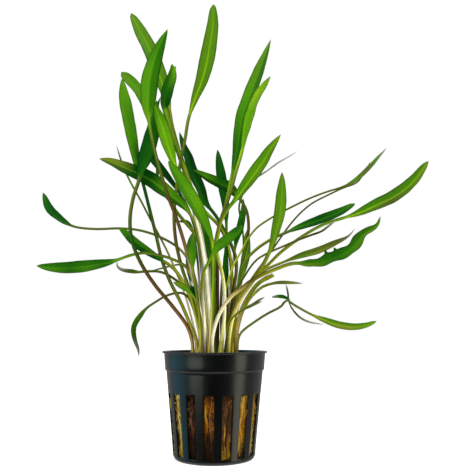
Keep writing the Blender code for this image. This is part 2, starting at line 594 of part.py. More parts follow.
def unit(vectors):
    return vectors / np.linalg.norm(vectors, axis=-1, keepdims=True)


class Grown:
    """A leaf's stations: its centre line as the eye sees it, its depth, width and thickness at each."""

    def __init__(self, leaf):
        self.plan = leaf
        start = to_sight(np.array([leaf.foot[0], leaf.foot[1], CROWN_TOP + GAP]))
        route = [tuple(start)] + leaf.stalk + leaf.blade
        self.seen = smooth_route(route)
        count = len(self.seen)
        along = np.linspace(0, 1, count)
        half, tip = leaf.depth
        self.depth = (
            leaf.foot[1] * (2 * along**2 - 3 * along + 1)
            + half * (4 * along - 4 * along**2)
            + tip * (2 * along**2 - along)
        )
        nearest = np.linalg.norm(self.seen - np.array(leaf.blade[0]), axis=1).argmin()
        self.blade = np.clip((np.arange(count) - nearest) / (count - 1 - nearest), 0, 1)
        rise = np.sin(np.pi / 2 * np.minimum(self.blade / leaf.peak, 1)) ** leaf.swell
        past = np.clip((self.blade - leaf.peak) / (1 - leaf.peak), 0, 1)
        shape = rise * (1 - past**2) ** leaf.point
        taper = np.sqrt(1 - self.blade**2)
        self.width = np.maximum(leaf.width * shape, leaf.thick * taper)
        if leaf.blunt:
            self.width = np.maximum(self.width, leaf.blunt)
        flat = np.clip(self.blade * FLATTENING, 0, 1)
        end = BLUNT_END if leaf.blunt else 1
        self.thick = (leaf.thick * (1 - flat) + BLADE_THICKNESS * flat) * np.sqrt(1 - (end * self.blade) ** 4)

    def frames(self):
        """The centre line in space, with its tangents, the directions across it and those of its upper
        side."""
        centre = from_sight(self.seen, self.depth)
        tangent = unit(np.gradient(centre, axis=0))
        sight = unit(centre - EYE)
        facing = unit(tangent * np.sum(tangent * sight, axis=1, keepdims=True) - sight)
        aside = np.cross(tangent, facing)
        middle = int(len(centre) * LEAN_AT)
        inward = np.array([-centre[middle, 0], -centre[middle, 1], LEAN_RISE])
        side = 1 if aside[middle] @ inward > 0 else -1
        turn = np.radians(self.plan.turn + self.plan.twist * (self.blade - 0.5))[:, None]
        upper = facing * np.cos(turn) + side * aside * np.sin(turn)
        return centre, tangent, np.cross(tangent, upper), upper


def settle(grown):
    """Moves stretches of leaf along the lines of sight, a little at a time, until no two leaves touch. The
    view from the eye stays as it is."""
    starts = np.cumsum([0] + [len(leaf.seen) for leaf in grown])
    seen, offset, radius, station, owner = [], [], [], [], []
    crowding = CLEARANCE - FOOT_CLEARANCE
    for number, leaf in enumerate(grown):
        centre, _, across, _ = leaf.frames()
        for column in SETTLING_COLUMNS:
            point = centre + across * (leaf.width / 2 * column)[:, None]
            seen.append(to_sight(point))
            offset.append(point[:, 1] - centre[:, 1])
            rise = np.clip(np.arange(len(centre)) * STATION_STEP / FOOT_STRETCH, 0, 1)
            radius.append(leaf.thick / 2 + (FOOT_CLEARANCE + crowding * rise) / 2)
            station.append(np.arange(starts[number], starts[number + 1]))
            owner.append(np.full(len(centre), number))
    seen, offset, radius, station, owner = map(np.concatenate, (seen, offset, radius, station, owner))
    tree = KDTree(len(seen))
    for index, point in enumerate(seen):
        tree.insert((*point, 0), index)
    tree.balance()
    pairs = []
    for index, point in enumerate(seen):
        for _, other, distance in tree.find_range((*point, 0), 2 * radius.max()):
            reach = radius[index] + radius[other]
            if other > index and owner[index] != owner[other] and distance < reach:
                pairs.append((index, other, math.sqrt(reach**2 - distance**2)))
    first, second = (np.array([pair[end] for pair in pairs]) for end in (0, 1))
    apart = np.array([pair[2] for pair in pairs])
    depth = np.concatenate([leaf.depth for leaf in grown])
    planned = depth.copy()
    window = np.hanning(2 * round(SETTLING_REACH / STATION_STEP) + 1)
    window /= window.sum()
    half = len(window) // 2
    for _ in range(SETTLING_ROUNDS):
        gap = depth[station[first]] + offset[first] - depth[station[second]] - offset[second]
        short = np.clip(apart - np.abs(gap), 0, None) * np.where(gap >= 0, 0.5, -0.5)
        push = np.zeros_like(depth)
        pull = np.zeros_like(depth)
        np.maximum.at(push, station[first], short)
        np.maximum.at(push, station[second], -short)
        np.minimum.at(pull, station[first], short)
        np.minimum.at(pull, station[second], -short)
        move = push + pull
        for start, end in zip(starts, starts[1:]):
            widened = np.pad(move[start:end], half, mode="edge")
            move[start:end] = np.convolve(widened, window, mode="valid")
        depth += SETTLING_RATE * move + HOLD * (planned - depth)
    for leaf, start, end in zip(grown, starts, starts[1:]):
        leaf.depth = depth[start:end]


def ring_places(leaf, centre, tangent):
    """The places of a leaf's sections, closer together where it bends and along the blade."""
    step = np.linalg.norm(np.diff(centre, axis=0), axis=1)
    bend = np.arccos(np.clip(np.sum(tangent[1:] * tangent[:-1], axis=1), -1, 1))
    blade = leaf.blade[1:] > 0
    blade_length = step[blade].sum()
    dense = step / np.where(blade, blade_length / BLADE_STEPS, STALK_STEP) + bend / BEND_STEP
    total = np.concatenate([[0], np.cumsum(dense)])
    count = max(LEAST_SECTIONS, math.ceil(total[-1]) + 1)
    return np.interp(np.linspace(0, total[-1], count), total, np.arange(len(centre)))


def read_at(values, places):
    index = np.arange(len(values))
    if values.ndim == 1:
        return np.interp(places, index, values)
    return np.stack([np.interp(places, index, values[:, axis]) for axis in range(3)], axis=1)


def make_leaf(name, leaf, collection, material):
    """A loft of four-sided sections, from the stalk to the thin blade with its channel and the rib below."""
    centre, tangent, across, upper = leaf.frames()
    places = ring_places(leaf, centre, tangent)
    centre, across, upper = (read_at(values, places) for values in (centre, across, upper))
    width, thick, blade = (read_at(values, places) for values in (leaf.width, leaf.thick, leaf.blade))
    bm = bmesh.new()
    rings = []
    for index in range(len(places)):
        side = unit(across[index]) * width[index] / 2
        rise = unit(upper[index])
        lift = width[index] / 2 * math.sin(math.radians(leaf.plan.fold)) * min(1, blade[index] * FOLDING)
        half = thick[index] / 2
        corners = [side + rise * lift, rise * half, rise * lift - side, -rise * half]
        ring = [centre[index] + corner for corner in corners]
        if index == 0:
            ring = [np.array([point[0], point[1], CROWN_TOP + GAP]) for point in ring]
        rings.append(ring)
    pointed = not leaf.plan.blunt
    if pointed:
        tip = bm.verts.new(centre[-1] * MM)
        rings.pop()
    rows = [[bm.verts.new(point * MM) for point in ring] for ring in rings]
    sides = len(rows[0])
    for low, high in zip(rows, rows[1:]):
        for corner in range(sides):
            after = (corner + 1) % sides
            bm.faces.new((low[corner], low[after], high[after], high[corner]))
    bm.faces.new(rows[0][::-1])
    if pointed:
        for corner in range(sides):
            bm.faces.new((rows[-1][corner], rows[-1][(corner + 1) % sides], tip))
    else:
        bm.faces.new(rows[-1])
    bmesh.ops.recalc_face_normals(bm, faces=bm.faces)
    mesh = mesh_from_bmesh("leaf_" + name, bm, smooth_angle=50)
    return add_object("leaf_" + name, mesh, collection, material)


def make_leaves(collection):
    grown = [Grown(leaf) for leaf in LEAVES.values()]
    settle(grown)
    for name, leaf in zip(LEAVES, grown):
        material = new_material("leaf_" + name, LEAF_COLOURS[leaf.plan.green], 0.45)
        make_leaf(name, leaf, collection, material)


def main():
    clear_scene()
    plant = new_collection("potted_cryptocoryne")
    cutters = new_collection("cutters")
    make_pot(plant, cutters)
    make_plug(plant, cutters)
    make_crown(plant)
    make_leaves(plant)


if __name__ == "__main__":
    main()
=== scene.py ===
"""Looks of a potted cryptocoryne: a fine leaf for each leaf of the frame, the moulded net pot, the fibrous
rock wool with its roots, the crown, and a plain studio. The plant's measures are millimetres until a mesh
is made of them. The studio's measures, and the settings that show a unit of length, are metres. The file is
laid out as an add-on and is run as a script."""

import math
from dataclasses import dataclass

import bmesh
import bpy
import numpy as np
from bpy.props import FloatProperty, FloatVectorProperty, IntProperty, PointerProperty
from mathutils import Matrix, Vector
from mathutils.kdtree import KDTree


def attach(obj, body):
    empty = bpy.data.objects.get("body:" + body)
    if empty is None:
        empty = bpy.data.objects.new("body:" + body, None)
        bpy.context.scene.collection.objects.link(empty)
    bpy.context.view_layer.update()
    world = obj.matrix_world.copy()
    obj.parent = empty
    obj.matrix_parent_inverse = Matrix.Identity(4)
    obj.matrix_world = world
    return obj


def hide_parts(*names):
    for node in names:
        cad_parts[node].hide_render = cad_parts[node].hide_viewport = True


bl_info = {
    "name": "Potted cryptocoryne",
    "version": (1, 0, 0),
    "blender": (4, 5, 0),
    "location": "View3D > Sidebar > Cryptocoryne",
    "description": "Makes the leaves, net pot, rock wool, roots and studio of a potted cryptocoryne",
    "category": "Add Mesh",
}

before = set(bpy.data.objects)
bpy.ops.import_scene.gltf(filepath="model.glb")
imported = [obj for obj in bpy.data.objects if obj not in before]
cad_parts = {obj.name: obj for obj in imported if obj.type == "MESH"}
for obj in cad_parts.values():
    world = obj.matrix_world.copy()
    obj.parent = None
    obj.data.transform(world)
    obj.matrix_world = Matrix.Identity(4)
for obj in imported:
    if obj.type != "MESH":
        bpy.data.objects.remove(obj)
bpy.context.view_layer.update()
MM = 0.001
BODY = "root"

# Net pot, in millimetres and as the CAD pot has it
POT_HEIGHT = 50.0
LIP_RADIUS = 26.0
LIP_THICKNESS = 0.8
BAND_TOP_RADIUS = 25.0
BAND_FOOT_RADIUS = 24.4
STEP_HEIGHT = 40.7
WALL_TOP_RADIUS = 23.75
WALL_FOOT_RADIUS = 19.7
FOOT_RADIUS = 18.6
CORNER_HEIGHT = 1.5
WALL = 0.9
FLOOR = 1.2
SLOTS = 16
SLOT_TOP = 30.5
SLOT_FOOT = 2.4
SLOT_TOP_WIDTH = 4.9
SLOT_FOOT_WIDTH = 4.2
SLOT_PHASE = math.radians(-94.8)
FLOOR_SLITS = 8
FLOOR_SLIT = (7.0, 2.4)
FLOOR_SLIT_RADIUS = 11.5

# How far the floor's cutters reach, in floor thicknesses, and the angles in degrees above which the pot's
# edges are rounded and stay sharp
CUTTER_REACH = 4
EDGE_ANGLE = 32
SHARP_ANGLE = 42

# Wool and crown, in millimetres
PLUG_FOOT = 1.6
PLUG_TOP = 45.2
PLUG_FOOT_RADIUS = 18.2
PLUG_TOP_RADIUS = 22.7
CROWN_TOP = 46.4
CROWN_HALF_X = 13.4
CROWN_HALF_Y = 13.0
GAP = 0.3
WOOL_SKIN = 0.1
CROWN_ROUGHNESS = 0.9
CROWN_ROUNDING = 1.6
CROWN_SKIRT = 4.5
NUB_WIDTH = 1.5
PALE_WIDTH = 1.35
ROOT_LIFT = 0.22
ROOT_DIVE = 0.12

# A root's sections and the points round each, how far a root at the front wanders round the pot, in radians,
# and the wool's stain: the first strip, how far and how fast the strips sway, and how far the stain wanders
ROOT_ROWS = 26
ROOT_SIDES = 7
FRONT_ROOT_WANDER = 0.02
FIRST_STRIP = 3.5
STRIP_SWAY = 0.12
STRIP_SWAY_TURN = 0.7
STAIN_WANDER = 0.05

# Seeds of what is drawn by chance
CROWN_SEED = 5
WOOL_SEED = 11
STRAND_SEED = 90

# The eye and the sight plane that the leaf routes are drawn on. The camera's focal length and the
# photograph's width are in the photograph's pixels.
EYE = np.array([10.0, -280.0, 58.0])
PITCH = math.radians(10.25)
SIGHT_DISTANCE = 275.5
SIGHT_CENTRE = np.array([10.0, 110.0])
RIGHT = np.array([1.0, 0.0, 0.0])
FORWARD = np.array([0.0, math.cos(PITCH), math.sin(PITCH)])
UP = np.array([0.0, -math.sin(PITCH), math.cos(PITCH)])
FOCAL_PIXELS = 551.0
PHOTO_PIXELS = 470

# Leaf shape, and how neighbouring leaves are moved apart
STATION_STEP = 2.0
ROUTE_SAMPLES = 600
BLADE_THICKNESS = 0.8
FLATTENING = 5.0
BLUNT_END = 0.8
LEAN_AT = 0.8
LEAN_RISE = 100.0
CLEARANCE = 1.0
FOOT_CLEARANCE = 0.4
FOOT_STRETCH = 30.0
SETTLING_COLUMNS = (-0.9, -0.45, 0, 0.45, 0.9)
SETTLING_ROUNDS = 240
SETTLING_REACH = 16.0
SETTLING_RATE = 0.7
HOLD = 0.01

# Fine leaf sections: places across from a leaf's left margin to its right, then back along its underside, the
# spacing of the sections, the waves and spikes of a margin, the fold along the midrib, and a torn end
COLUMNS = np.array([-1, -0.88, -0.68, -0.46, -0.26, -0.11, 0, 0.11, 0.26, 0.46, 0.68, 0.88, 1])
UNDERSIDE = slice(len(COLUMNS) - 2, 0, -1)
AROUND = np.concatenate([COLUMNS, COLUMNS[UNDERSIDE]])
STALK_SPACING = 2.2
BLADE_SPACING = 1.1
WAVE_PITCHES = (0.85, 1.2)
SHORT_WAVE_PITCH = 0.43
SHORT_WAVE_HEIGHT = 0.6
FULL_RUFFLE_HALF = 3.0
MARGIN_WANDER = 0.03
WANDER_LENGTH = 9.0
SPIKE_WIDTH = 0.012
FOLD_GROWTH = 4.0
CREASE = 0.03
MARGIN_THINNESS = 0.45
FOOT_SINK = 0.3
TEAR = (-1.1, 0.5)
FULL_TEAR_WIDTH = 2.5

# Leaf colours. A place across is 0 at the midrib and 1 at a margin, a place along goes from 0 to 1, and a
# pair is where a change begins and where it is complete.
BLADE_START = (0, 0.12)
BARE_END = (0, 0.1)
# Painted light on a bare stalk: how much it lightens all along, how much more at the foot, and where along
# the stalk that rise begins and where it is full
PAINTED_FOOT_LIGHT = 0.2
PAINTED_FOOT_LIGHT_RISE = 0.45
PAINTED_FOOT_LIGHT_REACH = (0.6, 0.1)
# A painted highlight along a bare stalk: how much it lightens, where across the stalk it lies, and its width
PAINTED_GLEAM = 0.35
PAINTED_GLEAM_PLACE = -0.15
PAINTED_GLEAM_WIDTH = 0.35
# Painted shade in a line along a bare stalk, as a groove holds: how much it darkens, where across it lies,
# and its width
GROOVE_SHADE_WEIGHT = 0.7
GROOVE_SHADE_PLACE = 0.32
GROOVE_SHADE_WIDTH = 0.15
# Painted shade on the sides of a bare stalk, in brown: how much it darkens, and where across it begins and is
# full
SIDE_SHADE_WEIGHT = 0.6
PAINTED_SIDE_SHADE = (0.35, 0.95)
# Painted shade on one half of a blade: how much, where across from the midrib it begins and is full, and
# where along the blade it begins and is full
SHADE_WEIGHT = 0.75
SHADE_EDGE = (0.02, 0.3)
SHADE_START = (0.02, 0.15)
RIB_LINE = 0.42
RIB_START = (0.01, 0.08)
RIB_FADE = 0.75
MARGIN = (0.72, 1.0)
MARGIN_SHADE = 0.5
TIP = (0.965, 1.0)
TIP_WEIGHT = 0.85

# Metres: the studio floor's half width, and the height at which loose fibres stand off the wool. The glow is
# the floor's own light.
FLOOR_REACH = 6.0
FIBRE_LIFT = 0.0001
FLOOR_GLOW = 0.62


@dataclass
class Leaf:
    """One leaf, planned as the CAD leaf is: foot on the crown, stalk and blade routes on the sight plane,
    depth half way and at the tip, its widest width and where along the blade it has it. Turn, twist and fold
    are degrees, blunt is the width of a torn end, and green names the leaf's kind of green; a dry leaf takes
    the withered material."""
    foot: tuple
    stalk: list
    blade: list
    depth: tuple
    width: float
    thick: float = 1.8
    turn: float = 30
    twist: float = 0
    peak: float = 0.45
    swell: float = 0.7
    point: float = 0.8
    blunt: float = 0
    fold: float = 14
    green: str = "mid"


LEAVES = {
    "tall_centre": Leaf(
        (-5.6, -3.4),
        [(-8.5, 65), (-12.5, 81.5), (-16.5, 93.5), (-19.5, 106.5), (-20.5, 120), (-19.5, 131.5), (-17.5, 145),
         (-14.8, 159)],
        [(-13.4, 167.5), (-10.2, 177.5), (-6.4, 187.5), (-3.8, 197.5), (-1.9, 208.5), (-1, 215),
         (-0.9, 225.4)],
        depth=(-1, 10), width=8.7, turn=20, twist=10, peak=0.57, swell=0.95, point=0.42),
    "tall_left_back": Leaf(
        (-1.6, 0.7),
        [(-1.6, 77.5), (-1.3, 95), (-1.8, 106), (-3.8, 113.5), (-6.6, 119.5), (-9.3, 125), (-11.7, 130.5),
         (-12.8, 135.5), (-14.3, 141.2), (-18.5, 154.5), (-21.5, 165.5)],
        [(-22.5, 171.5), (-25.1, 181.5), (-28.8, 192.5), (-32.8, 202.8), (-37.5, 211.9), (-41.9, 221)],
        depth=(9, 32), width=9.6, turn=25, peak=0.5, swell=0.75, point=0.47, green="olive"),
    "big_front_left": Leaf(
        (-4.9, -6.3),
        [(-6, 62.5), (-9, 80), (-12.5, 95), (-15.8, 107.5), (-19.5, 119), (-23.5, 129.5), (-28.3, 145),
         (-30.8, 155)],
        [(-32.9, 166.5), (-33.5, 176.5), (-32.9, 187.5), (-30.1, 198.5), (-28.2, 203.5), (-23.7, 213)],
        depth=(-12, -20), width=9.4, turn=160, twist=-20, peak=0.42, swell=0.65, point=0.85),
    "left_behind": Leaf(
        (-7.4, 5.2),
        [(-7.5, 62.5), (-6.5, 82.5), (-6.3, 97), (-8.2, 106), (-10.5, 111), (-15, 116.5), (-18.7, 121),
         (-22.8, 127.3), (-28.4, 134.5), (-28.8, 140), (-28.9, 146), (-31, 156)],
        [(-32.3, 165), (-34.5, 173.5), (-38.5, 182.5), (-41.5, 186), (-46.8, 191.6)],
        depth=(16, 40), width=7.3, turn=25, peak=0.72, point=0.42, green="olive"),
    "short_blunt": Leaf(
        (-0.8, -1.9),
        [(-2.3, 62.5), (-2.7, 72.5), (-3.1, 79.5), (-3.9, 88), (-4.6, 94), (-5.8, 101), (-7.2, 109),
         (-9.3, 118), (-12, 132.5), (-16.8, 147.5), (-20.3, 157.5), (-23.5, 167.5)],
        [(-24.7, 171.5), (-25.3, 175), (-24.6, 180), (-23.2, 185), (-21.5, 190), (-20.9, 195)],
        depth=(2, 6), width=7.4, thick=2.0, turn=25, swell=0.55, point=0.6, blunt=3.2, green="dark"),
    "inner_light": Leaf(
        (8.4, -1.6),
        [(8.9, 60), (8.7, 72), (8.6, 85), (8, 95), (6.8, 103), (4.5, 110.3), (1, 115.8), (-4.3, 121),
         (-8.8, 126.5), (-12.5, 132.5), (-16, 138.3)],
        [(-19, 143), (-20.5, 146), (-23.5, 154.5), (-26.5, 164.5), (-29, 171.5), (-30.8, 177)],
        depth=(3, -15), width=7.1, turn=25, peak=0.5, green="bright"),
    "bright_front": Leaf(
        (-2.6, -8.9),
        [(-2.3, 58.5), (-1.8, 67.5), (-1, 80), (-0.5, 92.5)],
        [(-0.8, 105), (-2.6, 110.5), (-5.3, 116), (-8.1, 121.5), (-11.3, 127.5), (-14.8, 133.5),
         (-18.2, 139.2), (-23.4, 147.2)],
        depth=(-17, -42), width=7.6, turn=150, twist=25, peak=0.5, swell=0.9, point=0.7, green="bright"),
    "dark_middle": Leaf(
        (5.3, 2.8),
        [(7.2, 62.5), (8.3, 72), (9.2, 82.5), (10.6, 91), (10.5, 98), (8, 105.5), (5.3, 111), (2, 117.2)],
        [(-0.6, 121), (-4.6, 126), (-7.6, 133.5), (-9.9, 138.5), (-12, 143.5), (-13.5, 149), (-16, 155),
         (-17.8, 161.7)],
        depth=(6, 24), width=6.8, turn=30, green="dark"),
    "curled_left": Leaf(
        (10.7, 5.5),
        [(10.3, 62.5), (10.3, 75), (11.2, 82.5), (13, 93.5), (15.5, 104.5), (16.8, 113.5), (15.8, 122)],
        [(12.5, 128), (7.5, 133.3), (0.5, 136.6), (-3.5, 138.5), (-11, 142.5)],
        depth=(7, 9), width=6.6, thick=1.6, turn=150, twist=-10, peak=0.4, swell=0.55, point=0.6),
    "small_dark_upright": Leaf(
        (3.2, 5.2),
        [(3.2, 62.5), (3, 77.5), (3.7, 88), (5, 99), (5.7, 110)],
        [(5.7, 115), (5.4, 121.5), (4.8, 127.5), (4, 132.5), (2.9, 140), (2, 146.5), (1.3, 152.8)],
        depth=(14, 34), width=5.9, thick=1.5, turn=20, peak=0.62, swell=0.6, point=0.75, green="dark"),
    "tall_right": Leaf(
        (1.2, 0.6),
        [(1.3, 60), (1.4, 70), (1.2, 80), (1.2, 90), (0.9, 98), (0.8, 105), (2.5, 115), (5.3, 125)],
        [(8, 137.5), (10.8, 151.5), (12.7, 164), (13.9, 170), (16, 176), (20.3, 187.5), (24.5, 198.5),
         (28, 208)],
        depth=(3, 20), width=8.1, turn=25, twist=15, peak=0.6, swell=0.8, point=0.95, green="bright"),
    "right_folded": Leaf(
        (0.8, -6.3),
        [(0.3, 62.5), (-0.5, 82.5), (-0.5, 96.5), (0.5, 107.5), (3.5, 119.5), (7.3, 130), (10.3, 141)],
        [(13.4, 151.5), (15.5, 161.5), (17.7, 170.2), (20.9, 178.8), (23.4, 182.8), (27.8, 189.5)],
        depth=(-8, -6), width=5.3, turn=25, twist=10, peak=0.55, swell=0.8, point=0.7, fold=20,
        green="bright"),
    "right_diagonal": Leaf(
        (2.0, -8.7),
        [(3.6, 60), (4.5, 68), (4.8, 77.5), (4.5, 84), (3.5, 91), (1.8, 97.5), (0.6, 104), (1.2, 109.5),
         (2.6, 116), (6, 122.5)],
        [(9.1, 126.4), (12.1, 130.4), (18.1, 138.4), (24.4, 147.4), (27.4, 152.4), (32.9, 160.3)],
        depth=(-14, -30), width=7.1, turn=150, swell=0.6, point=0.85, green="mid"),
    "short_right_upright": Leaf(
        (6.6, -6.3),
        [(7.3, 60), (9, 69), (13.5, 79), (19, 87), (24, 95)],
        [(26.4, 99.8), (28.8, 106), (30.9, 113.5), (32.2, 119), (33, 124.5), (33.3, 130), (33.5, 136),
         (33.5, 141.5)],
        depth=(-18, -48), width=5.7, thick=1.9, turn=155, peak=0.55, swell=0.8, point=0.75, green="bright"),
    "long_right": Leaf(
        (6.2, 0.6),
        [(7, 63.5), (8.5, 70.5), (13, 81), (19.5, 88), (26, 94.5), (32.5, 101), (40, 106.8), (48, 112),
         (55.5, 115.8)],
        [(62.5, 118), (70.5, 120.6), (80.7, 125), (90.4, 129.8), (98.4, 136.1), (106.8, 147)],
        depth=(-3, -12), width=7.4, thick=1.6, turn=150, peak=0.5, swell=1.0, point=0.55),
    "dark_right": Leaf(
        (7.4, 3.0),
        [(8.3, 60), (9, 70), (11.5, 85), (15, 96.5), (20, 102.3), (27.5, 107.5)],
        [(34.5, 110.8), (42.5, 114), (52.5, 117.6), (62.5, 121.6), (70.2, 125.8)],
        depth=(8, 20), width=5.4, thick=1.6, turn=25, peak=0.6, swell=0.6, point=0.5, green="dark"),
    "thread_right_long": Leaf(
        (3.8, -6.4),
        [(4.2, 60), (4.2, 67.5), (5, 80), (6.8, 87.5), (9, 94), (11.8, 99.6), (14.3, 104), (16.7, 108.4),
         (20.8, 113.5), (28.5, 118.8), (37.5, 123.6), (47.5, 128.4), (56.5, 131.8)],
        [(63, 133.8), (70.2, 137.4), (77.8, 144.4), (82, 149.3), (85.8, 153.5)],
        depth=(-10, 4), width=3.0, thick=1.0, turn=35, green="dark"),
    "thread_right_back": Leaf(
        (5.6, 5.3),
        [(9, 67.5), (12.5, 77.5), (18.5, 88.5), (26.5, 99.5), (32, 107.5), (37, 114.5), (42.5, 120.8),
         (48.5, 125.8), (56.5, 130), (64, 133.5)],
        [(70.5, 136), (72.5, 138.2), (75, 141.5), (77.8, 147)],
        depth=(16, 34), width=1.8, thick=1.0, turn=60, green="dark"),
    "thread_top_right": Leaf(
        (5.4, 8.8),
        [(6.5, 62.5), (8.5, 77.5), (13, 90), (14.3, 105), (13.3, 116.5), (12, 124), (15, 132.5),
         (20.5, 138.5)],
        [(24.5, 141.1), (31, 145.8), (37.5, 149.6), (41.3, 151.9)],
        depth=(26, 48), width=1.4, thick=1.1, turn=60, green="dark"),
    "thread_right_middle": Leaf(
        (5.2, -4.0),
        [(9, 70), (10.5, 81.5), (14.5, 89), (20.5, 97.3), (26.5, 101), (34, 104.3), (41.5, 107.5),
         (49, 110.3)],
        [(52.5, 111.5), (54.5, 112.8), (57.5, 115), (60.5, 117.3)],
        depth=(-14, -40), width=1.6, thick=1.0, turn=60, green="dark"),
    "narrow_right": Leaf(
        (7.6, -4.0),
        [(10.5, 70), (14.5, 82), (17.5, 86), (21, 89.5), (25, 92.5)],
        [(33, 96), (42.5, 99.5), (52.5, 102.5), (60, 106), (66.5, 109.3), (70.3, 113.5)],
        depth=(-5, -8), width=3.9, thick=1.3, turn=25, swell=0.8, point=1.4),
    "wavy_right": Leaf(
        (-0.8, -8.7),
        [(-1.3, 58.5), (0.4, 66), (2.2, 70.5), (5.4, 76), (9.5, 80.5), (13, 83), (16.5, 86), (22.5, 89.5),
         (30.5, 93)],
        [(38.5, 95.7), (46.5, 95.9), (55, 97), (62.5, 99.8), (69.2, 104.4), (74.4, 110.4), (81, 115),
         (82.8, 119.5)],
        depth=(-18, -34), width=6.2, thick=1.8, turn=150, peak=0.4, swell=0.95, point=0.75, green="bright"),
    "cut_stalk_right": Leaf(
        (10.6, -1.2),
        [(11, 62.5), (13.5, 73), (17.5, 80.5), (20, 84)],
        [(22.5, 86.5), (25.5, 88.3), (29.6, 90.2)],
        depth=(1, 0), width=2.6, thick=2.2, turn=20, blunt=2.2, fold=0, green="olive"),
    "thin_right": Leaf(
        (9.9, 3.3),
        [(11, 60), (12.5, 67.5), (14, 72), (18, 79), (20.5, 81.5), (23.5, 84)],
        [(26.5, 85.2), (30.5, 86), (35, 86.2), (44, 85.8)],
        depth=(9, 24), width=2.3, thick=1.5, turn=30, green="dark"),
    "short_split_tip": Leaf(
        (4.6, -8.6),
        [(6, 60), (7.5, 67), (9.5, 69.5), (12, 71.5), (15, 73.3)],
        [(18, 75), (21, 76.8), (25, 79)],
        depth=(-16, -30), width=1.8, thick=1.1, turn=60, green="dark"),
    "low_right": Leaf(
        (11.0, 1.1),
        [(11.8, 58.6), (13.2, 61.4), (19.7, 66.5), (26.6, 70.9), (33, 74.3), (36, 77.6), (38.3, 75.9),
         (43.8, 72.6)],
        [(48, 70.4), (55, 67.3), (62.5, 64.8), (70, 64), (76, 65), (81, 67)],
        depth=(2, 4), width=4.0, thick=1.2, turn=25, peak=0.4, swell=0.6, point=0.5, green="olive"),
    "drooping_left": Leaf(
        (-6.4, 2.9),
        [(-8, 61), (-9.5, 68.5), (-11.5, 75), (-13.5, 79), (-16, 80.8), (-18.5, 81.1), (-24.4, 79.6),
         (-30.2, 76.2)],
        [(-33.1, 74.3), (-35.6, 72), (-37.7, 69.4), (-39.6, 66.6), (-40.7, 64), (-40.8, 61), (-40.3, 58),
         (-39.3, 55.2), (-38.3, 52.2), (-38.1, 49)],
        depth=(5, 14), width=3.0, thick=1.2, turn=25, peak=0.3, swell=0.6, point=0.7, green="olive"),
    "long_left": Leaf(
        (-5.2, -1.7),
        [(-6, 62.5), (-7.5, 72.5), (-10.5, 85.5), (-14.5, 94), (-21, 97.8), (-28.5, 100), (-36, 101),
         (-43.5, 99.5)],
        [(-47.5, 98), (-55, 95.9), (-65, 94.2), (-75, 93.4), (-82.5, 93.7), (-89.3, 94.6)],
        depth=(-12, -24), width=6.45, thick=1.4, turn=155, peak=0.52, swell=0.65, point=0.7),
    "upper_left_small": Leaf(
        (-4.2, 2.9),
        [(-6.5, 67.5), (-9.5, 85), (-12.5, 96), (-18, 103.3), (-27.5, 109), (-37.5, 112.3), (-47.5, 113.3),
         (-60, 113)],
        [(-70, 114.1), (-74.7, 116.2), (-78.9, 119.2), (-82.8, 123), (-86, 131.3)],
        depth=(10, 28), width=5.2, thick=1.3, turn=25, peak=0.6, swell=0.75, point=0.7),
    "left_middle": Leaf(
        (-7.4, -1.7),
        [(-7.5, 60), (-9.5, 70), (-12.5, 79), (-16.5, 87.5), (-20, 92.5)],
        [(-23.5, 95.5), (-29.5, 99), (-35, 102.5), (-40.5, 106.5), (-45, 111), (-48.3, 114)],
        depth=(1, -4), width=5.1, thick=1.7, turn=25, peak=0.55, point=0.6, green="dark"),
    "broad_left": Leaf(
        (-3.0, -1.7),
        [(-5, 67.5), (-6.3, 87.5), (-8.1, 104.5), (-10, 114.5)],
        [(-11.8, 119.3), (-15.7, 124.4), (-20.4, 128.5), (-26.4, 133.1), (-32.1, 137.4), (-38, 140.5),
         (-46, 144), (-52.5, 146.7), (-58, 148.2)],
        depth=(-3, -14), width=8.4, thick=1.5, turn=25, peak=0.5, swell=0.9, point=0.75),
    "left_upright": Leaf(
        (-9.6, 0.6),
        [(-9.2, 56), (-12, 64), (-17, 76), (-22.5, 86.8), (-26.5, 97.5), (-29.5, 110), (-32.5, 122),
         (-35.5, 134)],
        [(-37.2, 140), (-39.1, 146), (-41, 155), (-42.6, 163.5), (-44.5, 173.5), (-45.8, 181.5),
         (-46.3, 188.7)],
        depth=(3, 14), width=7.1, thick=1.8, turn=20, peak=0.66, swell=0.45, point=0.75),
    "thin_left_upright": Leaf(
        (-8.6, 2.9),
        [(-8.5, 55), (-10.8, 64.5), (-14.8, 79.5), (-19, 90.5), (-23, 100), (-27.5, 109), (-32.5, 118.3),
         (-37, 127), (-42, 136)],
        [(-44, 140), (-45.5, 143.5), (-47, 147.5), (-49.3, 155)],
        depth=(10, 26), width=1.5, thick=1.1, turn=60, green="olive"),
    "dark_left_upright": Leaf(
        (-11.0, -1.8),
        [(-11.3, 56), (-13.8, 64.2), (-21.6, 74.8), (-30.1, 85.1), (-37, 95.8), (-41.6, 107.5),
         (-42.5, 118), (-40.9, 128.5)],
        [(-38, 137.5), (-37.1, 142.5), (-35.6, 147.5), (-34.2, 152.5), (-32.6, 158), (-31, 164.5),
         (-30, 171), (-29.2, 177.5)],
        depth=(-16, -2), width=9.2, thick=1.8, turn=150, peak=0.5, green="dark"),
    "hidden_dark": Leaf(
        (-2.4, 5.2),
        [(-3.8, 62.5), (-5.5, 87.5), (-8, 105), (-11.5, 118)],
        [(-14.1, 124.8), (-18, 131.3), (-23.8, 139.2), (-30.3, 147), (-33, 152), (-33.3, 158), (-31.8, 166),
         (-29.5, 173), (-27.3, 179)],
        depth=(14, 22), width=5.6, thick=1.5, turn=30, peak=0.55, swell=1.1, green="dark"),
    "folded_right_inner": Leaf(
        (-4.8, -8.6),
        [(-5.5, 67.5), (-6.3, 82.5), (-5.5, 91.5), (-3.5, 96)],
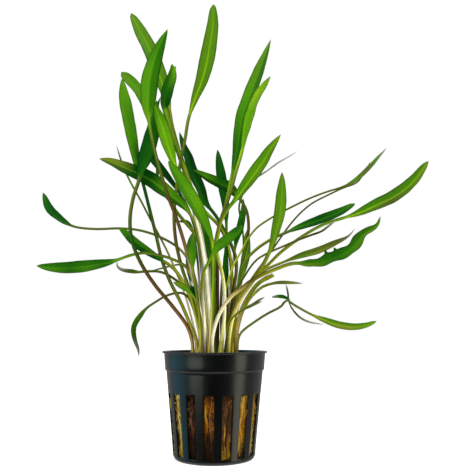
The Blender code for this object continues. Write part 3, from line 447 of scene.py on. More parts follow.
        [(-1.5, 99.6), (0.8, 102.7), (3, 104.9), (5.5, 107), (8, 109.1), (10.5, 111.5), (12.3, 113.4),
         (13.5, 115.6)],
        depth=(-21, -46), width=5.6, thick=1.4, turn=150, peak=0.4, swell=0.8, point=0.5, green="bright"),
    "dark_inner_right": Leaf(
        (7.4, 7.3),
        [(8, 60), (10.5, 73.5), (12.5, 83.5)],
        [(13.5, 88.5), (14.5, 93.5), (15.5, 99.5), (16, 104.5), (16, 112.5)],
        depth=(18, 50), width=5.2, thick=1.5, turn=20, point=0.5, green="dark"),
    "small_left_inner": Leaf(
        (-6.7, -7.6),
        [(-7.5, 65), (-9, 80), (-10.5, 88.5)],
        [(-11.3, 94.5), (-11.9, 99.5), (-11.9, 104), (-11.4, 108), (-10.6, 111.5)],
        depth=(-25, -50), width=5.0, thick=1.4, turn=155),
    "thin_inner_left": Leaf(
        (-6.0, 7.4),
        [(-7, 62.5), (-9.5, 75), (-11.5, 82.5)],
        [(-12.5, 87.5), (-13.5, 93.5), (-14.3, 100.5)],
        depth=(20, 44), width=2.8, thick=1.3, turn=30, green="dark"),
    "short_young_dark": Leaf(
        (-6.9, -5.8),
        [(-7.4, 60), (-7.8, 68), (-8.4, 74)],
        [(-9, 77.5), (-10.3, 81), (-12, 85)],
        depth=(-10.5, -15), width=3.6, thick=1.3, turn=150, point=0.45, green="dark"),
    "small_dark_left": Leaf(
        (-5.2, 5.2),
        [(-6, 62.5), (-7.5, 82.5), (-9, 100), (-10.3, 108.5)],
        [(-11.8, 114), (-14, 116.3), (-18.5, 117)],
        depth=(12, 30), width=3.0, thick=1.3, turn=40, green="dark"),
    "short_bright_left": Leaf(
        (-8.9, -5.6),
        [(-6.5, 60), (-7.8, 71.5), (-9.5, 77.5)],
        [(-12, 80.8), (-14.5, 83), (-17.5, 84.8), (-21, 86.5)],
        depth=(-14, -22), width=3.7, thick=1.2, turn=150, green="bright"),
    "curled_old": Leaf(
        (-6.4, 0.6),
        [(-6.5, 60), (-9, 72.5), (-13.5, 82), (-20, 87.8), (-27, 91.5), (-34.5, 91.8)],
        [(-38, 91.5), (-42, 91.8), (-45.5, 92.3), (-47.8, 93.3), (-49, 95), (-48.8, 97)],
        depth=(2, 2), width=2.6, thick=1.3, turn=30, peak=0.2, green="dry"),
    "thin_strand_left": Leaf(
        (-3.6, 7.6),
        [(-5.5, 62.5), (-7.5, 77.5), (-9.5, 87.5), (-12, 93.5), (-16.5, 95.2)],
        [(-21.5, 94.7), (-27, 93.3), (-32.5, 92)],
        depth=(18, 40), width=1.4, thick=1.0, turn=60, green="olive"),
    "inner_dark": Leaf(
        (-2.0, 2.9),
        [(-2.5, 62.5), (-2.3, 82.5)],
        [(-2.5, 95), (-3.3, 101), (-4.5, 106), (-5.8, 111), (-7, 116.5), (-9.5, 125)],
        depth=(8, 24), width=4.4, thick=1.7, turn=30, green="dark"),
    "centre_dark": Leaf(
        (6.0, -1.6),
        [(6, 62.5), (6, 77.5)],
        [(6, 83.5), (5.8, 90), (5.5, 97.5), (6, 106)],
        depth=(-7, -6), width=3.4, thick=1.4, turn=30, green="dark"),
    "narrow_inner_right": Leaf(
        (8.4, 5.4),
        [(7, 62.5), (7.1, 80), (7.8, 90), (9, 96.5)],
        [(9.8, 102), (10.8, 107.5), (12.4, 112.5), (13.6, 118), (14.2, 123), (14, 128.5)],
        depth=(12, 28), width=4.7, thick=1.3, turn=30, green="dark"),
}


# Plant colours, sRGB hex, from the photograph's own greens, creams and browns
PALETTE = {
    "cream": "efe7c6", "straw": "cbb86c", "yellow": "b4aa3c", "lime": "86ad1c", "grass": "5f9c10",
    "leaf": "4c8a0c", "mid": "3a780a", "deep": "1b5c08", "dark": "074908", "night": "023605",
    "olive": "6c7b20", "moss": "4c5b1d", "brown": "4a3818", "rust": "71492b", "pink": "b3967c",
    "soot": "1c1a10", "grey": "8d8d84", "ash": "b5b5ad", "glow": "8ecb12", "sap": "4f7c0e", "bone": "f6f1e0",
    "butter": "dcd27c", "pear": "a6b02c", "reed": "84881e", "fern": "5c8c12", "bark": "32240c",
    "gold": "b98d26", "amber": "a8650f", "umber": "2a1406", "maroon": "3d1712", "wool": "8f7430",
}


@dataclass
class Look:
    """One leaf's colours: stops along its stalk and its blade, its rib, and the colour of painted shade on
    one half of the blade, that half named by the side of the photograph that it faces. Wave is how far its
    margins ruffle, in mm, and spikes are points torn out of its upper margin: place along the blade and
    height in mm."""
    stalk: str
    blade: str
    rib: str = "lime"
    rib_gain: float = 0.6
    shade: str = ""
    side: str = "right"
    wave: float = 0.1
    tip: str = "moss"
    spikes: tuple = ()


LOOKS = {
    "tall_centre": Look("straw reed moss brown olive moss olive", "olive sap sap sap sap", rib="glow",
                        rib_gain=0.85, shade="sap"),
    "tall_left_back": Look("butter reed fern moss moss olive", "sap sap mid sap sap", rib="glow",
                           shade="sap"),
    "big_front_left": Look("butter butter bone pink rust brown brown moss moss fern",
                           "fern leaf leaf mid mid", rib="grass", shade="deep", wave=0.17),
    "left_behind": Look("reed reed deep leaf", "sap leaf leaf sap"),
    "short_blunt": Look("butter cream bone bone bone cream cream olive fern olive fern",
                        "night dark deep leaf grass", rib="mid", shade="deep", side="left", wave=0.14,
                        tip="fern"),
    "inner_light": Look("gold reed reed fern grass", "fern grass grass leaf mid", rib="glow", rib_gain=1.0),
    "bright_front": Look("gold butter lime fern lime", "leaf leaf grass leaf leaf", rib="grass",
                         shade="mid", side="left", tip="dark"),
    "dark_middle": Look("moss brown moss dark", "deep deep dark dark deep", rib="dark", shade="night",
                        tip="deep"),
    "curled_left": Look("butter straw fern brown moss", "fern deep deep leaf mid", rib="leaf", shade="dark",
                        side="bottom", wave=0.14),
    "small_dark_upright": Look("moss brown reed deep", "deep dark dark deep", rib="deep", shade="dark",
                               side="left"),
    "tall_right": Look("bark umber bark umber brown moss olive fern", "dark deep mid leaf sap fern",
                       rib="leaf", shade="deep", wave=0.12),
    "right_folded": Look("moss umber fern fern brown moss olive lime", "lime grass grass lime fern",
                         rib="leaf", rib_gain=0.8, shade="fern", wave=0.45),
    "right_diagonal": Look("olive butter bone butter lime reed leaf", "sap sap fern sap olive", rib="glow",
                           rib_gain=0.9, shade="leaf", side="left", tip="brown"),
    "short_right_upright": Look("reed butter straw reed olive", "olive sap fern leaf sap", shade="sap",
                                side="left", tip="soot"),
    "long_right": Look("moss reed reed olive fern", "olive sap moss sap olive", rib="glow", rib_gain=0.8,
                       shade="mid", side="top", wave=0.16, tip="soot"),
    "dark_right": Look("butter butter fern olive moss", "mid deep dark deep mid", rib="mid", rib_gain=0.8,
                       shade="dark", side="bottom", tip="night"),
    "thread_right_long": Look("butter butter pear pear olive moss moss moss", "moss sap moss sap grey",
                              rib="moss", wave=0.07, tip="ash"),
    "thread_right_back": Look("straw reed moss moss moss", "moss moss moss moss grey", rib="moss",
                              wave=0.07, tip="ash"),
    "thread_top_right": Look("moss reed leaf leaf moss grey", "grey grey ash ash", rib="grey", wave=0.035,
                             tip="ash"),
    "thread_right_middle": Look("reed reed moss moss olive moss soot", "soot moss grey ash", rib="moss",
                                wave=0.07, tip="ash"),
    "narrow_right": Look("reed reed reed olive", "olive sap olive moss grey", rib="moss", rib_gain=0.7,
                         shade="moss", side="top", tip="ash"),
    "wavy_right": Look("reed bone cream straw brown reed olive", "olive sap deep mid sap sap", rib="mid",
                       shade="deep", side="top", wave=1.0, tip="ash", spikes=((0.345, 2.2), (0.445, 2.0))),
    "cut_stalk_right": Look("moss straw reed olive", "olive reed reed", rib="pear", wave=0.017,
                            tip="straw"),
    "thin_right": Look("moss straw pear moss", "olive moss olive grey", rib="moss", wave=0.035, tip="ash"),
    "short_split_tip": Look("soot moss reed deep", "moss moss grey", rib="moss", wave=0.035, tip="grey"),
    "low_right": Look("straw olive moss moss olive", "olive sap olive sap fern", rib="pear", shade="mid",
                      side="top", tip="grey"),
    "drooping_left": Look("moss butter brown moss moss", "mid leaf mid moss grey ash", rib="moss",
                          shade="deep", tip="ash"),
    "long_left": Look("olive reed olive moss fern", "mid deep mid deep mid mid", rib="grass", rib_gain=0.3,
                      shade="deep", side="top", wave=0.12),
    "upper_left_small": Look("straw butter moss moss moss", "moss deep dark deep mid", rib="dark",
                             rib_gain=0.7, shade="dark", wave=0.17),
    "left_middle": Look("moss reed pear olive", "deep dark dark deep leaf", rib="deep", shade="mid"),
    "broad_left": Look("butter bone moss olive", "leaf mid leaf dark dark olive olive", rib="grass",
                       rib_gain=0.8, shade="dark", side="bottom", wave=0.12, tip="olive"),
    "left_upright": Look("straw reed moss moss dark dark", "dark dark mid mid leaf fern", rib="leaf",
                         shade="leaf", side="left", wave=0.19),
    "thin_left_upright": Look("bone butter moss fern", "leaf mid deep mid grey ash", rib="moss", wave=0.035,
                              tip="ash"),
    "dark_left_upright": Look("straw rust brown brown dark moss moss", "dark dark dark dark deep mid",
                              rib="deep", shade="deep", wave=0.12),
    "hidden_dark": Look("pear butter moss fern", "deep night dark deep deep", rib="dark"),
    "folded_right_inner": Look("brown bone reed fern", "grass leaf mid mid deep deep", rib="leaf",
                               shade="mid", side="bottom", tip="dark"),
    "dark_inner_right": Look("bark pear straw olive", "fern leaf leaf mid", rib="pear", shade="mid"),
    "small_left_inner": Look("straw reed moss olive", "sap sap deep moss", rib="fern", shade="mid",
                             wave=0.07),
    "thin_inner_left": Look("soot reed bone night", "dark deep deep", rib="dark", wave=0.07),
    "short_young_dark": Look("moss reed pear butter", "deep night dark", rib="night", wave=0.07),
    "small_dark_left": Look("olive bone moss moss", "dark deep dark", rib="dark", wave=0.07),
    "short_bright_left": Look("straw olive reed fern", "fern leaf olive leaf", rib="leaf", wave=0.07),
    "curled_old": Look("brown pear moss moss", "olive dark moss grey ash ash", rib="moss", shade="moss",
                       side="bottom", tip="ash"),
    "thin_strand_left": Look("pear bone moss moss", "moss moss moss", rib="moss", wave=0.035),
    "inner_dark": Look("reed bone bone moss", "deep deep grass", rib="mid", wave=0.07),
    "centre_dark": Look("night reed moss dark", "dark deep dark", rib="dark", wave=0.07),
    "narrow_inner_right": Look("moss reed bone fern", "deep deep mid", rib="dark", wave=0.07),
}

# Withered strands of the low right leaf's knee and the second tip of the short split leaf: points on the
# sight plane, depth at both ends, width, thickness, and colours along the strand
STRANDS = {
    "knee_spike": ([(35.5, 85), (36.2, 82), (36.6, 79.5), (36.5, 76.4)], (3, 3.4), 1.2, 0.6,
                   "ash moss deep moss"),
    "knee_blade": ([(28.7, 79), (31.5, 79.3), (34.5, 79), (37.9, 77.4)], (2.2, 3.2), 2.3, 0.6,
                   "grey deep dark moss"),
    "knee_trail": ([(36.6, 77.7), (37.8, 74.7), (39.8, 71.6), (42.3, 69), (45.6, 67.1), (49.5, 66),
                    (54.5, 65.3)], (4.3, 7), 1.2, 0.6, "moss moss grey ash"),
    "split_second": ([(14.2, 72.7), (18, 74.5), (21, 75.9), (23.7, 76.9)], (-22, -28), 1.3, 0.8,
                     "moss moss grey"),
}


def lengths_along(points):
    """The distance from the first point to each, along the line through them."""
    return np.concatenate([[0], np.cumsum(np.linalg.norm(np.diff(points, axis=0), axis=1))])


def smooth_route(points):
    """A smooth curve through the points, read at even steps: Hermite pieces whose tangents come from the
    neighbouring points."""
    points = np.array(points, float)
    knots = np.concatenate([[0], np.cumsum(np.sqrt(np.linalg.norm(np.diff(points, axis=0), axis=1)))])
    spans = np.diff(knots)[:, None]
    slopes = np.diff(points, axis=0) / spans
    inner = (slopes[:-1] * spans[1:] + slopes[1:] * spans[:-1]) / (spans[1:] + spans[:-1])
    tangents = np.concatenate([slopes[:1], inner, slopes[-1:]])
    fine = np.linspace(0, knots[-1], ROUTE_SAMPLES)
    piece = np.clip(np.searchsorted(knots, fine, side="right") - 1, 0, len(points) - 2)
    span = spans[piece]
    step = ((fine - knots[piece]) / span[:, 0])[:, None]
    curve = (
        points[piece] * (2 * step**3 - 3 * step**2 + 1)
        + tangents[piece] * span * (step**3 - 2 * step**2 + step)
        + points[piece + 1] * (3 * step**2 - 2 * step**3)
        + tangents[piece + 1] * span * (step**3 - step**2)
    )
    along = lengths_along(curve)
    even = np.linspace(0, along[-1], round(along[-1] / STATION_STEP) + 1)
    return np.stack([np.interp(even, along, curve[:, axis]) for axis in range(2)], axis=1)


def to_sight(point):
    """Where the eye sees a point of space, on the sight plane."""
    offset = np.asarray(point, float) - EYE
    scale = SIGHT_DISTANCE / (offset @ FORWARD)
    return SIGHT_CENTRE + scale[..., None] * np.stack([offset @ RIGHT, offset @ UP], axis=-1)


def from_sight(seen, depth):
    """The point of space at a depth behind the pot's axis that the eye sees at a place of the sight plane."""
    offset = np.asarray(seen, float) - SIGHT_CENTRE
    ray = SIGHT_DISTANCE * FORWARD + offset[..., :1] * RIGHT + offset[..., 1:] * UP
    return EYE + ray * ((np.asarray(depth) - EYE[1]) / ray[..., 1])[..., None]


def unit(vectors):
    return vectors / np.linalg.norm(vectors, axis=-1, keepdims=True)


class Grown:
    """A leaf's stations: its centre line as the eye sees it, its depth, width and thickness at each."""

    def __init__(self, leaf):
        self.plan = leaf
        start = to_sight(np.array([leaf.foot[0], leaf.foot[1], CROWN_TOP + GAP]))
        route = [tuple(start)] + leaf.stalk + leaf.blade
        self.seen = smooth_route(route)
        count = len(self.seen)
        along = np.linspace(0, 1, count)
        half, tip = leaf.depth
        self.depth = (
            leaf.foot[1] * (2 * along**2 - 3 * along + 1)
            + half * (4 * along - 4 * along**2)
            + tip * (2 * along**2 - along)
        )
        nearest = np.linalg.norm(self.seen - np.array(leaf.blade[0]), axis=1).argmin()
        self.blade = np.clip((np.arange(count) - nearest) / (count - 1 - nearest), 0, 1)
        rise = np.sin(np.pi / 2 * np.minimum(self.blade / leaf.peak, 1)) ** leaf.swell
        past = np.clip((self.blade - leaf.peak) / (1 - leaf.peak), 0, 1)
        shape = rise * (1 - past**2) ** leaf.point
        taper = np.sqrt(1 - self.blade**2)
        self.width = np.maximum(leaf.width * shape, leaf.thick * taper)
        if leaf.blunt:
            self.width = np.maximum(self.width, leaf.blunt)
        flat = np.clip(self.blade * FLATTENING, 0, 1)
        end = BLUNT_END if leaf.blunt else 1
        self.thick = (leaf.thick * (1 - flat) + BLADE_THICKNESS * flat) * np.sqrt(1 - (end * self.blade) ** 4)

    def frames(self):
        """The centre line in space, with its tangents, the directions across it and those of its upper
        side."""
        centre = from_sight(self.seen, self.depth)
        tangent = unit(np.gradient(centre, axis=0))
        sight = unit(centre - EYE)
        facing = unit(tangent * np.sum(tangent * sight, axis=1, keepdims=True) - sight)
        aside = np.cross(tangent, facing)
        middle = int(len(centre) * LEAN_AT)
        inward = np.array([-centre[middle, 0], -centre[middle, 1], LEAN_RISE])
        side = 1 if aside[middle] @ inward > 0 else -1
        turn = np.radians(self.plan.turn + self.plan.twist * (self.blade - 0.5))[:, None]
        upper = facing * np.cos(turn) + side * aside * np.sin(turn)
        return centre, tangent, np.cross(tangent, upper), upper


def settle(grown):
    """Moves stretches of leaf along the lines of sight, a little at a time, until no two leaves touch. The
    view from the eye stays as it is."""
    starts = np.cumsum([0] + [len(leaf.seen) for leaf in grown])
    seen, offset, radius, station, owner = [], [], [], [], []
    crowding = CLEARANCE - FOOT_CLEARANCE
    for number, leaf in enumerate(grown):
        centre, _, across, _ = leaf.frames()
        for column in SETTLING_COLUMNS:
            point = centre + across * (leaf.width / 2 * column)[:, None]
            seen.append(to_sight(point))
            offset.append(point[:, 1] - centre[:, 1])
            rise = np.clip(np.arange(len(centre)) * STATION_STEP / FOOT_STRETCH, 0, 1)
            radius.append(leaf.thick / 2 + (FOOT_CLEARANCE + crowding * rise) / 2)
            station.append(np.arange(starts[number], starts[number + 1]))
            owner.append(np.full(len(centre), number))
    seen, offset, radius, station, owner = map(np.concatenate, (seen, offset, radius, station, owner))
    tree = KDTree(len(seen))
    for index, point in enumerate(seen):
        tree.insert((*point, 0), index)
    tree.balance()
    pairs = []
    for index, point in enumerate(seen):
        for _, other, distance in tree.find_range((*point, 0), 2 * radius.max()):
            reach = radius[index] + radius[other]
            if other > index and owner[index] != owner[other] and distance < reach:
                pairs.append((index, other, math.sqrt(reach**2 - distance**2)))
    first, second = (np.array([pair[end] for pair in pairs]) for end in (0, 1))
    apart = np.array([pair[2] for pair in pairs])
    depth = np.concatenate([leaf.depth for leaf in grown])
    planned = depth.copy()
    window = np.hanning(2 * round(SETTLING_REACH / STATION_STEP) + 1)
    window /= window.sum()
    half = len(window) // 2
    for _ in range(SETTLING_ROUNDS):
        gap = depth[station[first]] + offset[first] - depth[station[second]] - offset[second]
        short = np.clip(apart - np.abs(gap), 0, None) * np.where(gap >= 0, 0.5, -0.5)
        push = np.zeros_like(depth)
        pull = np.zeros_like(depth)
        np.maximum.at(push, station[first], short)
        np.maximum.at(push, station[second], -short)
        np.minimum.at(pull, station[first], short)
        np.minimum.at(pull, station[second], -short)
        move = push + pull
        for start, end in zip(starts, starts[1:]):
            widened = np.pad(move[start:end], half, mode="edge")
            move[start:end] = np.convolve(widened, window, mode="valid")
        depth += SETTLING_RATE * move + HOLD * (planned - depth)
    for leaf, start, end in zip(grown, starts, starts[1:]):
        leaf.depth = depth[start:end]


def srgb(code):
    """An sRGB hex colour as linear values."""
    values = np.array([int(code[place:place + 2], 16) for place in (0, 2, 4)]) / 255
    return np.where(values <= 0.04045, values / 12.92, ((values + 0.055) / 1.055) ** 2.4)


def colour(code):
    return (*srgb(code), 1.0)


WHITE = colour("ffffff")
PLANT_COLOURS = {name: srgb(code) for name, code in PALETTE.items()}


def stops(names, places):
    """Palette colours read at places from 0 to 1, evenly spaced from the first named to the last."""
    colours = np.array([PLANT_COLOURS[name] for name in names.split()])
    at = np.linspace(0, 1, len(colours))
    return np.stack([np.interp(places, at, colours[:, channel]) for channel in range(3)], axis=-1)


def smooth_step(values, low, high):
    step = np.clip((values - low) / (high - low), 0, 1)
    return step * step * (3 - 2 * step)


def blend_to(colours, target, weight):
    return colours + (target - colours) * weight[..., None]


def bell(values, centre, width):
    """A smooth bump, 1 at its centre."""
    return np.exp(-(((values - centre) / width) ** 2))


def new_piece(name, vertices, faces, material, smooth=True):
    """A mesh object at the origin from vertices in metres."""
    mesh = bpy.data.meshes.new(name)
    mesh.from_pydata([tuple(vertex) for vertex in vertices], [], faces)
    mesh.validate()
    mesh.update()
    piece = bpy.data.objects.new(name, mesh)
    bpy.context.scene.collection.objects.link(piece)
    mesh.materials.append(material)
    if smooth:
        mesh.shade_smooth()
    return piece


def face_out(piece):
    bm = bmesh.new()
    bm.from_mesh(piece.data)
    bmesh.ops.recalc_face_normals(bm, faces=bm.faces)
    bm.to_mesh(piece.data)
    bm.free()


def paint(piece, name, colours):
    """Stores a colour for each vertex."""
    attribute = piece.data.color_attributes.new(name, "FLOAT_COLOR", "POINT")
    values = np.ones((len(colours), 4), np.float32)
    values[:, :3] = colours
    attribute.data.foreach_set("color", values.ravel())


def unwrap(piece, places):
    """A UV map from a place in millimetres for each vertex."""
    layer = piece.data.uv_layers.new(name="across_and_along")
    loops = np.empty(len(piece.data.loops), np.int32)
    piece.data.loops.foreach_get("vertex_index", loops)
    layer.data.foreach_set("uv", places[loops].astype(np.float32).ravel())


def keep(piece, slot, *nodes):
    """The piece rides on the one body and stands for CAD nodes, which are hidden. Its slot is not used."""
    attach(piece, BODY)
    if nodes:
        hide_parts(*nodes)


def bake(piece):
    """Turns a piece and its modifiers into a plain mesh."""
    graph = bpy.context.evaluated_depsgraph_get()
    mesh = bpy.data.meshes.new_from_object(piece.evaluated_get(graph))
    piece.modifiers.clear()
    old = piece.data
    piece.data = mesh
    bpy.data.meshes.remove(old)


def add_node(tree, kind, settings=None, inputs=None):
    """A node with its settings. An input's value is a number, a colour or another node's output socket."""
    made = tree.nodes.new(kind)
    for name, value in (settings or {}).items():
        setattr(made, name, value)
    for name, value in (inputs or {}).items():
        if isinstance(value, bpy.types.NodeSocket):
            tree.links.new(value, made.inputs[name])
        else:
            made.inputs[name].default_value = value
    return made


def new_material(name):
    material = bpy.data.materials.new(name)
    material.use_nodes = True
    tree = material.node_tree
    tree.nodes.clear()
    output = tree.nodes.new("ShaderNodeOutputMaterial")
    shader = tree.nodes.new("ShaderNodeBsdfPrincipled")
    tree.links.new(shader.outputs[0], output.inputs[0])
    return material, tree, shader


def set_shader(tree, shader, **values):
    for name, value in values.items():
        socket = shader.inputs[name.replace("_", " ")]
        if isinstance(value, bpy.types.NodeSocket):
            tree.links.new(value, socket)
        else:
            socket.default_value = value


def leaf_cuticle(name, roughness, mottle, vein_depth):
    """Living leaf: a thin waxy cuticle over green tissue. It gives a soft satin sheen, a faint mottle, and
    fine parallel veins a little under a millimetre apart, drawn coarser than real ones so that they show."""
    material, tree, shader = new_material(name)
    place = add_node(tree, "ShaderNodeTexCoord").outputs
    painted = add_node(tree, "ShaderNodeAttribute", {"attribute_name": "leaf_colour"})
    blotches = add_node(tree, "ShaderNodeTexNoise", inputs={
        "Vector": place["Object"], "Scale": 140.0, "Detail": 3.0, "Roughness": 0.6}).outputs["Fac"]
    stretched = add_node(tree, "ShaderNodeMapping", inputs={
        "Vector": place["UV"], "Scale": (1.9, 0.06, 1.0)})
    streaks = add_node(tree, "ShaderNodeTexNoise", inputs={
        "Vector": stretched.outputs[0], "Scale": 1.0, "Detail": 2.0}).outputs["Fac"]
    veins = add_node(tree, "ShaderNodeTexWave", {"bands_direction": "X"}, {
        "Vector": place["UV"], "Scale": 0.36, "Distortion": 0.6, "Detail": 1.0}).outputs["Fac"]
    shading = add_node(tree, "ShaderNodeMath", {"operation": "MULTIPLY_ADD"}, {
        0: blotches, 1: mottle, 2: 1.0 - mottle * 0.5})
    streaked = add_node(tree, "ShaderNodeMath", {"operation": "MULTIPLY_ADD"}, {
        0: streaks, 1: mottle, 2: -mottle * 0.5})
    veined = add_node(tree, "ShaderNodeMath", {"operation": "MULTIPLY_ADD"}, {
        0: veins, 1: mottle * 0.35, 2: -mottle * 0.17})
    half = add_node(tree, "ShaderNodeMath", inputs={0: shading.outputs[0], 1: streaked.outputs[0]})
    gain = add_node(tree, "ShaderNodeMath", inputs={0: half.outputs[0], 1: veined.outputs[0]})
    shaded = add_node(tree, "ShaderNodeVectorMath", {"operation": "SCALE"}, {
        0: painted.outputs["Color"], "Scale": gain.outputs[0]})
    relief = add_node(tree, "ShaderNodeMath", {"operation": "MULTIPLY_ADD"}, {0: veins, 1: 0.6, 2: blotches})
    bump = add_node(tree, "ShaderNodeBump", inputs={
        "Strength": vein_depth, "Distance": 0.0002, "Height": relief.outputs[0]})
    gloss = add_node(tree, "ShaderNodeMapRange", inputs={
        "Value": blotches, "To Min": roughness - 0.08, "To Max": roughness + 0.1})
    set_shader(tree, shader, Base_Color=shaded.outputs[0], Roughness=gloss.outputs[0],
               Normal=bump.outputs[0], Specular_IOR_Level=0.03, IOR=1.42)
    return material


def moulded_polypropylene(tone):
    """Black polypropylene, injection moulded: a satin skin with broad soft reflections and the faint flow
    waves and scuffs of a cheap nursery pot."""
    material, tree, shader = new_material("moulded_polypropylene")
    place = add_node(tree, "ShaderNodeTexCoord").outputs["Object"]
    flow = add_node(tree, "ShaderNodeMapping", inputs={"Vector": place, "Scale": (1.0, 1.0, 0.25)})
    waves = add_node(tree, "ShaderNodeTexNoise", inputs={
        "Vector": flow.outputs[0], "Scale": 90.0, "Detail": 2.0}).outputs["Fac"]
    grain = add_node(tree, "ShaderNodeTexNoise", inputs={"Vector": place, "Scale": 1400.0, "Detail": 2.0})
    scuff = add_node(tree, "ShaderNodeMapRange", inputs={
        "Value": waves, "From Min": 0.35, "From Max": 0.7, "To Min": 0.22, "To Max": 0.34})
    relief = add_node(tree, "ShaderNodeMath", {"operation": "MULTIPLY_ADD"}, {
        0: grain.outputs["Fac"], 1: 0.12, 2: waves})
    bump = add_node(tree, "ShaderNodeBump", inputs={
        "Strength": 0.25, "Distance": 0.0004, "Height": relief.outputs[0]})
    tint = add_node(tree, "ShaderNodeMix", {"data_type": "RGBA"}, {
        "Factor": waves, 6: tone, 7: colour("080c0c")})
    set_shader(tree, shader, Base_Color=tint.outputs[2], Roughness=scuff.outputs[0],
               Normal=bump.outputs[0], IOR=1.49)
    return material


def wet_fibre(name, attribute, roughness, scale, contrast):
    """Wet mineral fibre, root or rhizome skin: painted colours broken up by a fine noise, with a damp
    sheen."""
    material, tree, shader = new_material(name)
    place = add_node(tree, "ShaderNodeTexCoord")
    painted = add_node(tree, "ShaderNodeAttribute", {"attribute_name": attribute})
    grain = add_node(tree, "ShaderNodeTexNoise", inputs={
        "Vector": place.outputs["Object"], "Scale": scale, "Detail": 4.0, "Roughness": 0.65}).outputs["Fac"]
    gain = add_node(tree, "ShaderNodeMapRange", inputs={
        "Value": grain, "From Min": 0.3, "From Max": 0.7, "To Min": 1.0 - contrast, "To Max": 1.0 + contrast})
    shaded = add_node(tree, "ShaderNodeVectorMath", {"operation": "SCALE"}, {
        0: painted.outputs["Color"], "Scale": gain.outputs[0]})
    bump = add_node(tree, "ShaderNodeBump", inputs={"Strength": 0.6, "Distance": 0.0005, "Height": grain})
    set_shader(tree, shader, Base_Color=shaded.outputs[0], Roughness=roughness, Normal=bump.outputs[0],
               Specular_IOR_Level=0.12)
    return material


def read_smooth(values, places):
    """Values at fractional places of their rows, on a smooth curve through them."""
    base = np.clip(np.floor(places).astype(int), 0, len(values) - 2)
    step = places - base
    before = values[np.maximum(base - 1, 0)]
    here = values[base]
    after = values[base + 1]
    beyond = values[np.minimum(base + 2, len(values) - 1)]
    if values.ndim > 1:
        step = step[:, None]
    return here + 0.5 * step * (after - before + step * (
        2 * before - 5 * here + 4 * after - beyond + step * (3 * (here - after) + beyond - before)))


def side_faces(rows, sides):
    """The quads between rows of points round an axis."""
    faces = []
    for row in range(rows - 1):
        low = row * sides
        for side in range(sides):
            after = (side + 1) % sides
            faces.append((low + side, low + after, low + sides + after, low + sides + side))
    return faces


def ring_faces(rows, sides, tip):
    """The faces of a tube of sections: its sides, its end cap at the foot, and its tip or end cap."""
    faces = side_faces(rows, sides)
    faces.append(tuple(range(sides))[::-1])
    last = (rows - 1) * sides
    if tip:
        for side in range(sides):
            faces.append((last + side, last + (side + 1) % sides, rows * sides))
    else:
        faces.append(tuple(range(last, last + sides)))
    return faces


def fine_rows(grown):
    """A leaf's stations read at closer rows: centre, the directions across and up, half width, thickness,
    place along the blade and distance from the foot, the last four as columns."""
    centre, _, across, upper = grown.frames()
    spacing = np.where(grown.blade > 0, BLADE_SPACING, STALK_SPACING)
    dense = np.concatenate([[0], np.cumsum(STATION_STEP / (0.5 * (spacing[1:] + spacing[:-1])))])
    places = np.interp(np.linspace(0, dense[-1], round(dense[-1]) + 1), dense, np.arange(len(centre)))
    centre, across, upper = (read_smooth(values, places) for values in (centre, across, upper))
    width, thick, blade = (np.interp(places, np.arange(len(grown.blade)), values)[:, None]
                           for values in (grown.width, grown.thick, grown.blade))
    return centre, unit(across), unit(upper), width / 2, thick, blade, lengths_along(centre)[:, None]


def margin_waves(along, pitch, phase):
    """Long waves along a margin, with shorter ones on them."""
    short = np.sin(along * 2 * np.pi / (pitch[1] * SHORT_WAVE_PITCH) + phase[1])
    return np.sin(along * 2 * np.pi / pitch[0] + phase[0]) + SHORT_WAVE_HEIGHT * short


def leaf_sections(plan, look, settings, rows, rng):
    """How far each point of each section is to the side of the leaf's centre line, and how far above it."""
    _, across, _, half, thick, blade, along = rows
    x = COLUMNS[None, :]
    flat = smooth_step(blade, 0, 1 / FLATTENING)

    # Margins ruffle in a few long waves, each side by itself
    phase = rng.uniform(0, 2 * np.pi, 6)
    pitch = rng.uniform(*WAVE_PITCHES, 4) * settings.ruffle_pitch
    left = margin_waves(along, pitch[:2], phase[:2])
    right = margin_waves(along, pitch[2:], phase[2:])
    waves = np.where(x < 0, left, right)
    ruffle = waves * look.wave * x**2 * np.minimum(1, half / FULL_RUFFLE_HALF)
    wander = 1 + MARGIN_WANDER * np.sin(along / WANDER_LENGTH + phase[4]) * np.abs(x) * flat
    reach = half * x * wander
    for where, height in look.spikes:
        spike = bell(blade, where, SPIKE_WIDTH) * height * smooth_step(np.abs(x), 0.8, 1)
        towards = np.sign(np.mean(across @ UP))
        reach = reach + spike * towards * (np.sign(x) == towards)

    fold = math.radians(plan.fold) * np.minimum(1, blade * FOLD_GROWTH)
    lift = half * np.sin(fold) * (np.sqrt(x**2 + CREASE) - math.sqrt(CREASE))
    rib = bell(x * half, 0, settings.rib_width) * np.sqrt(1 - np.clip(blade, 0, 1))
    lamina = settings.lamina * (MARGIN_THINNESS + (1 - MARGIN_THINNESS) * (1 - x**2))
    fade = np.sqrt(np.clip(1 - blade**6, 0, 1))
    stalk = thick / 2 * np.sqrt(np.clip(1 - x**2, 0, 1))
    top = lift + ruffle + (lamina / 2 - settings.rib_groove * rib) * fade
    bottom = lift + ruffle - (lamina / 2 + settings.rib_height * rib) * fade
    high = (1 - flat) * stalk + flat * top
    low = -(1 - flat) * stalk + flat * bottom

    side = np.concatenate([reach, reach[:, UNDERSIDE]], axis=1)
    rise = np.concatenate([high, low[:, UNDERSIDE]], axis=1)
    for margin in (0, len(COLUMNS) - 1):
        rise[:, margin] = (high[:, margin] + low[:, margin]) / 2
    return side, rise


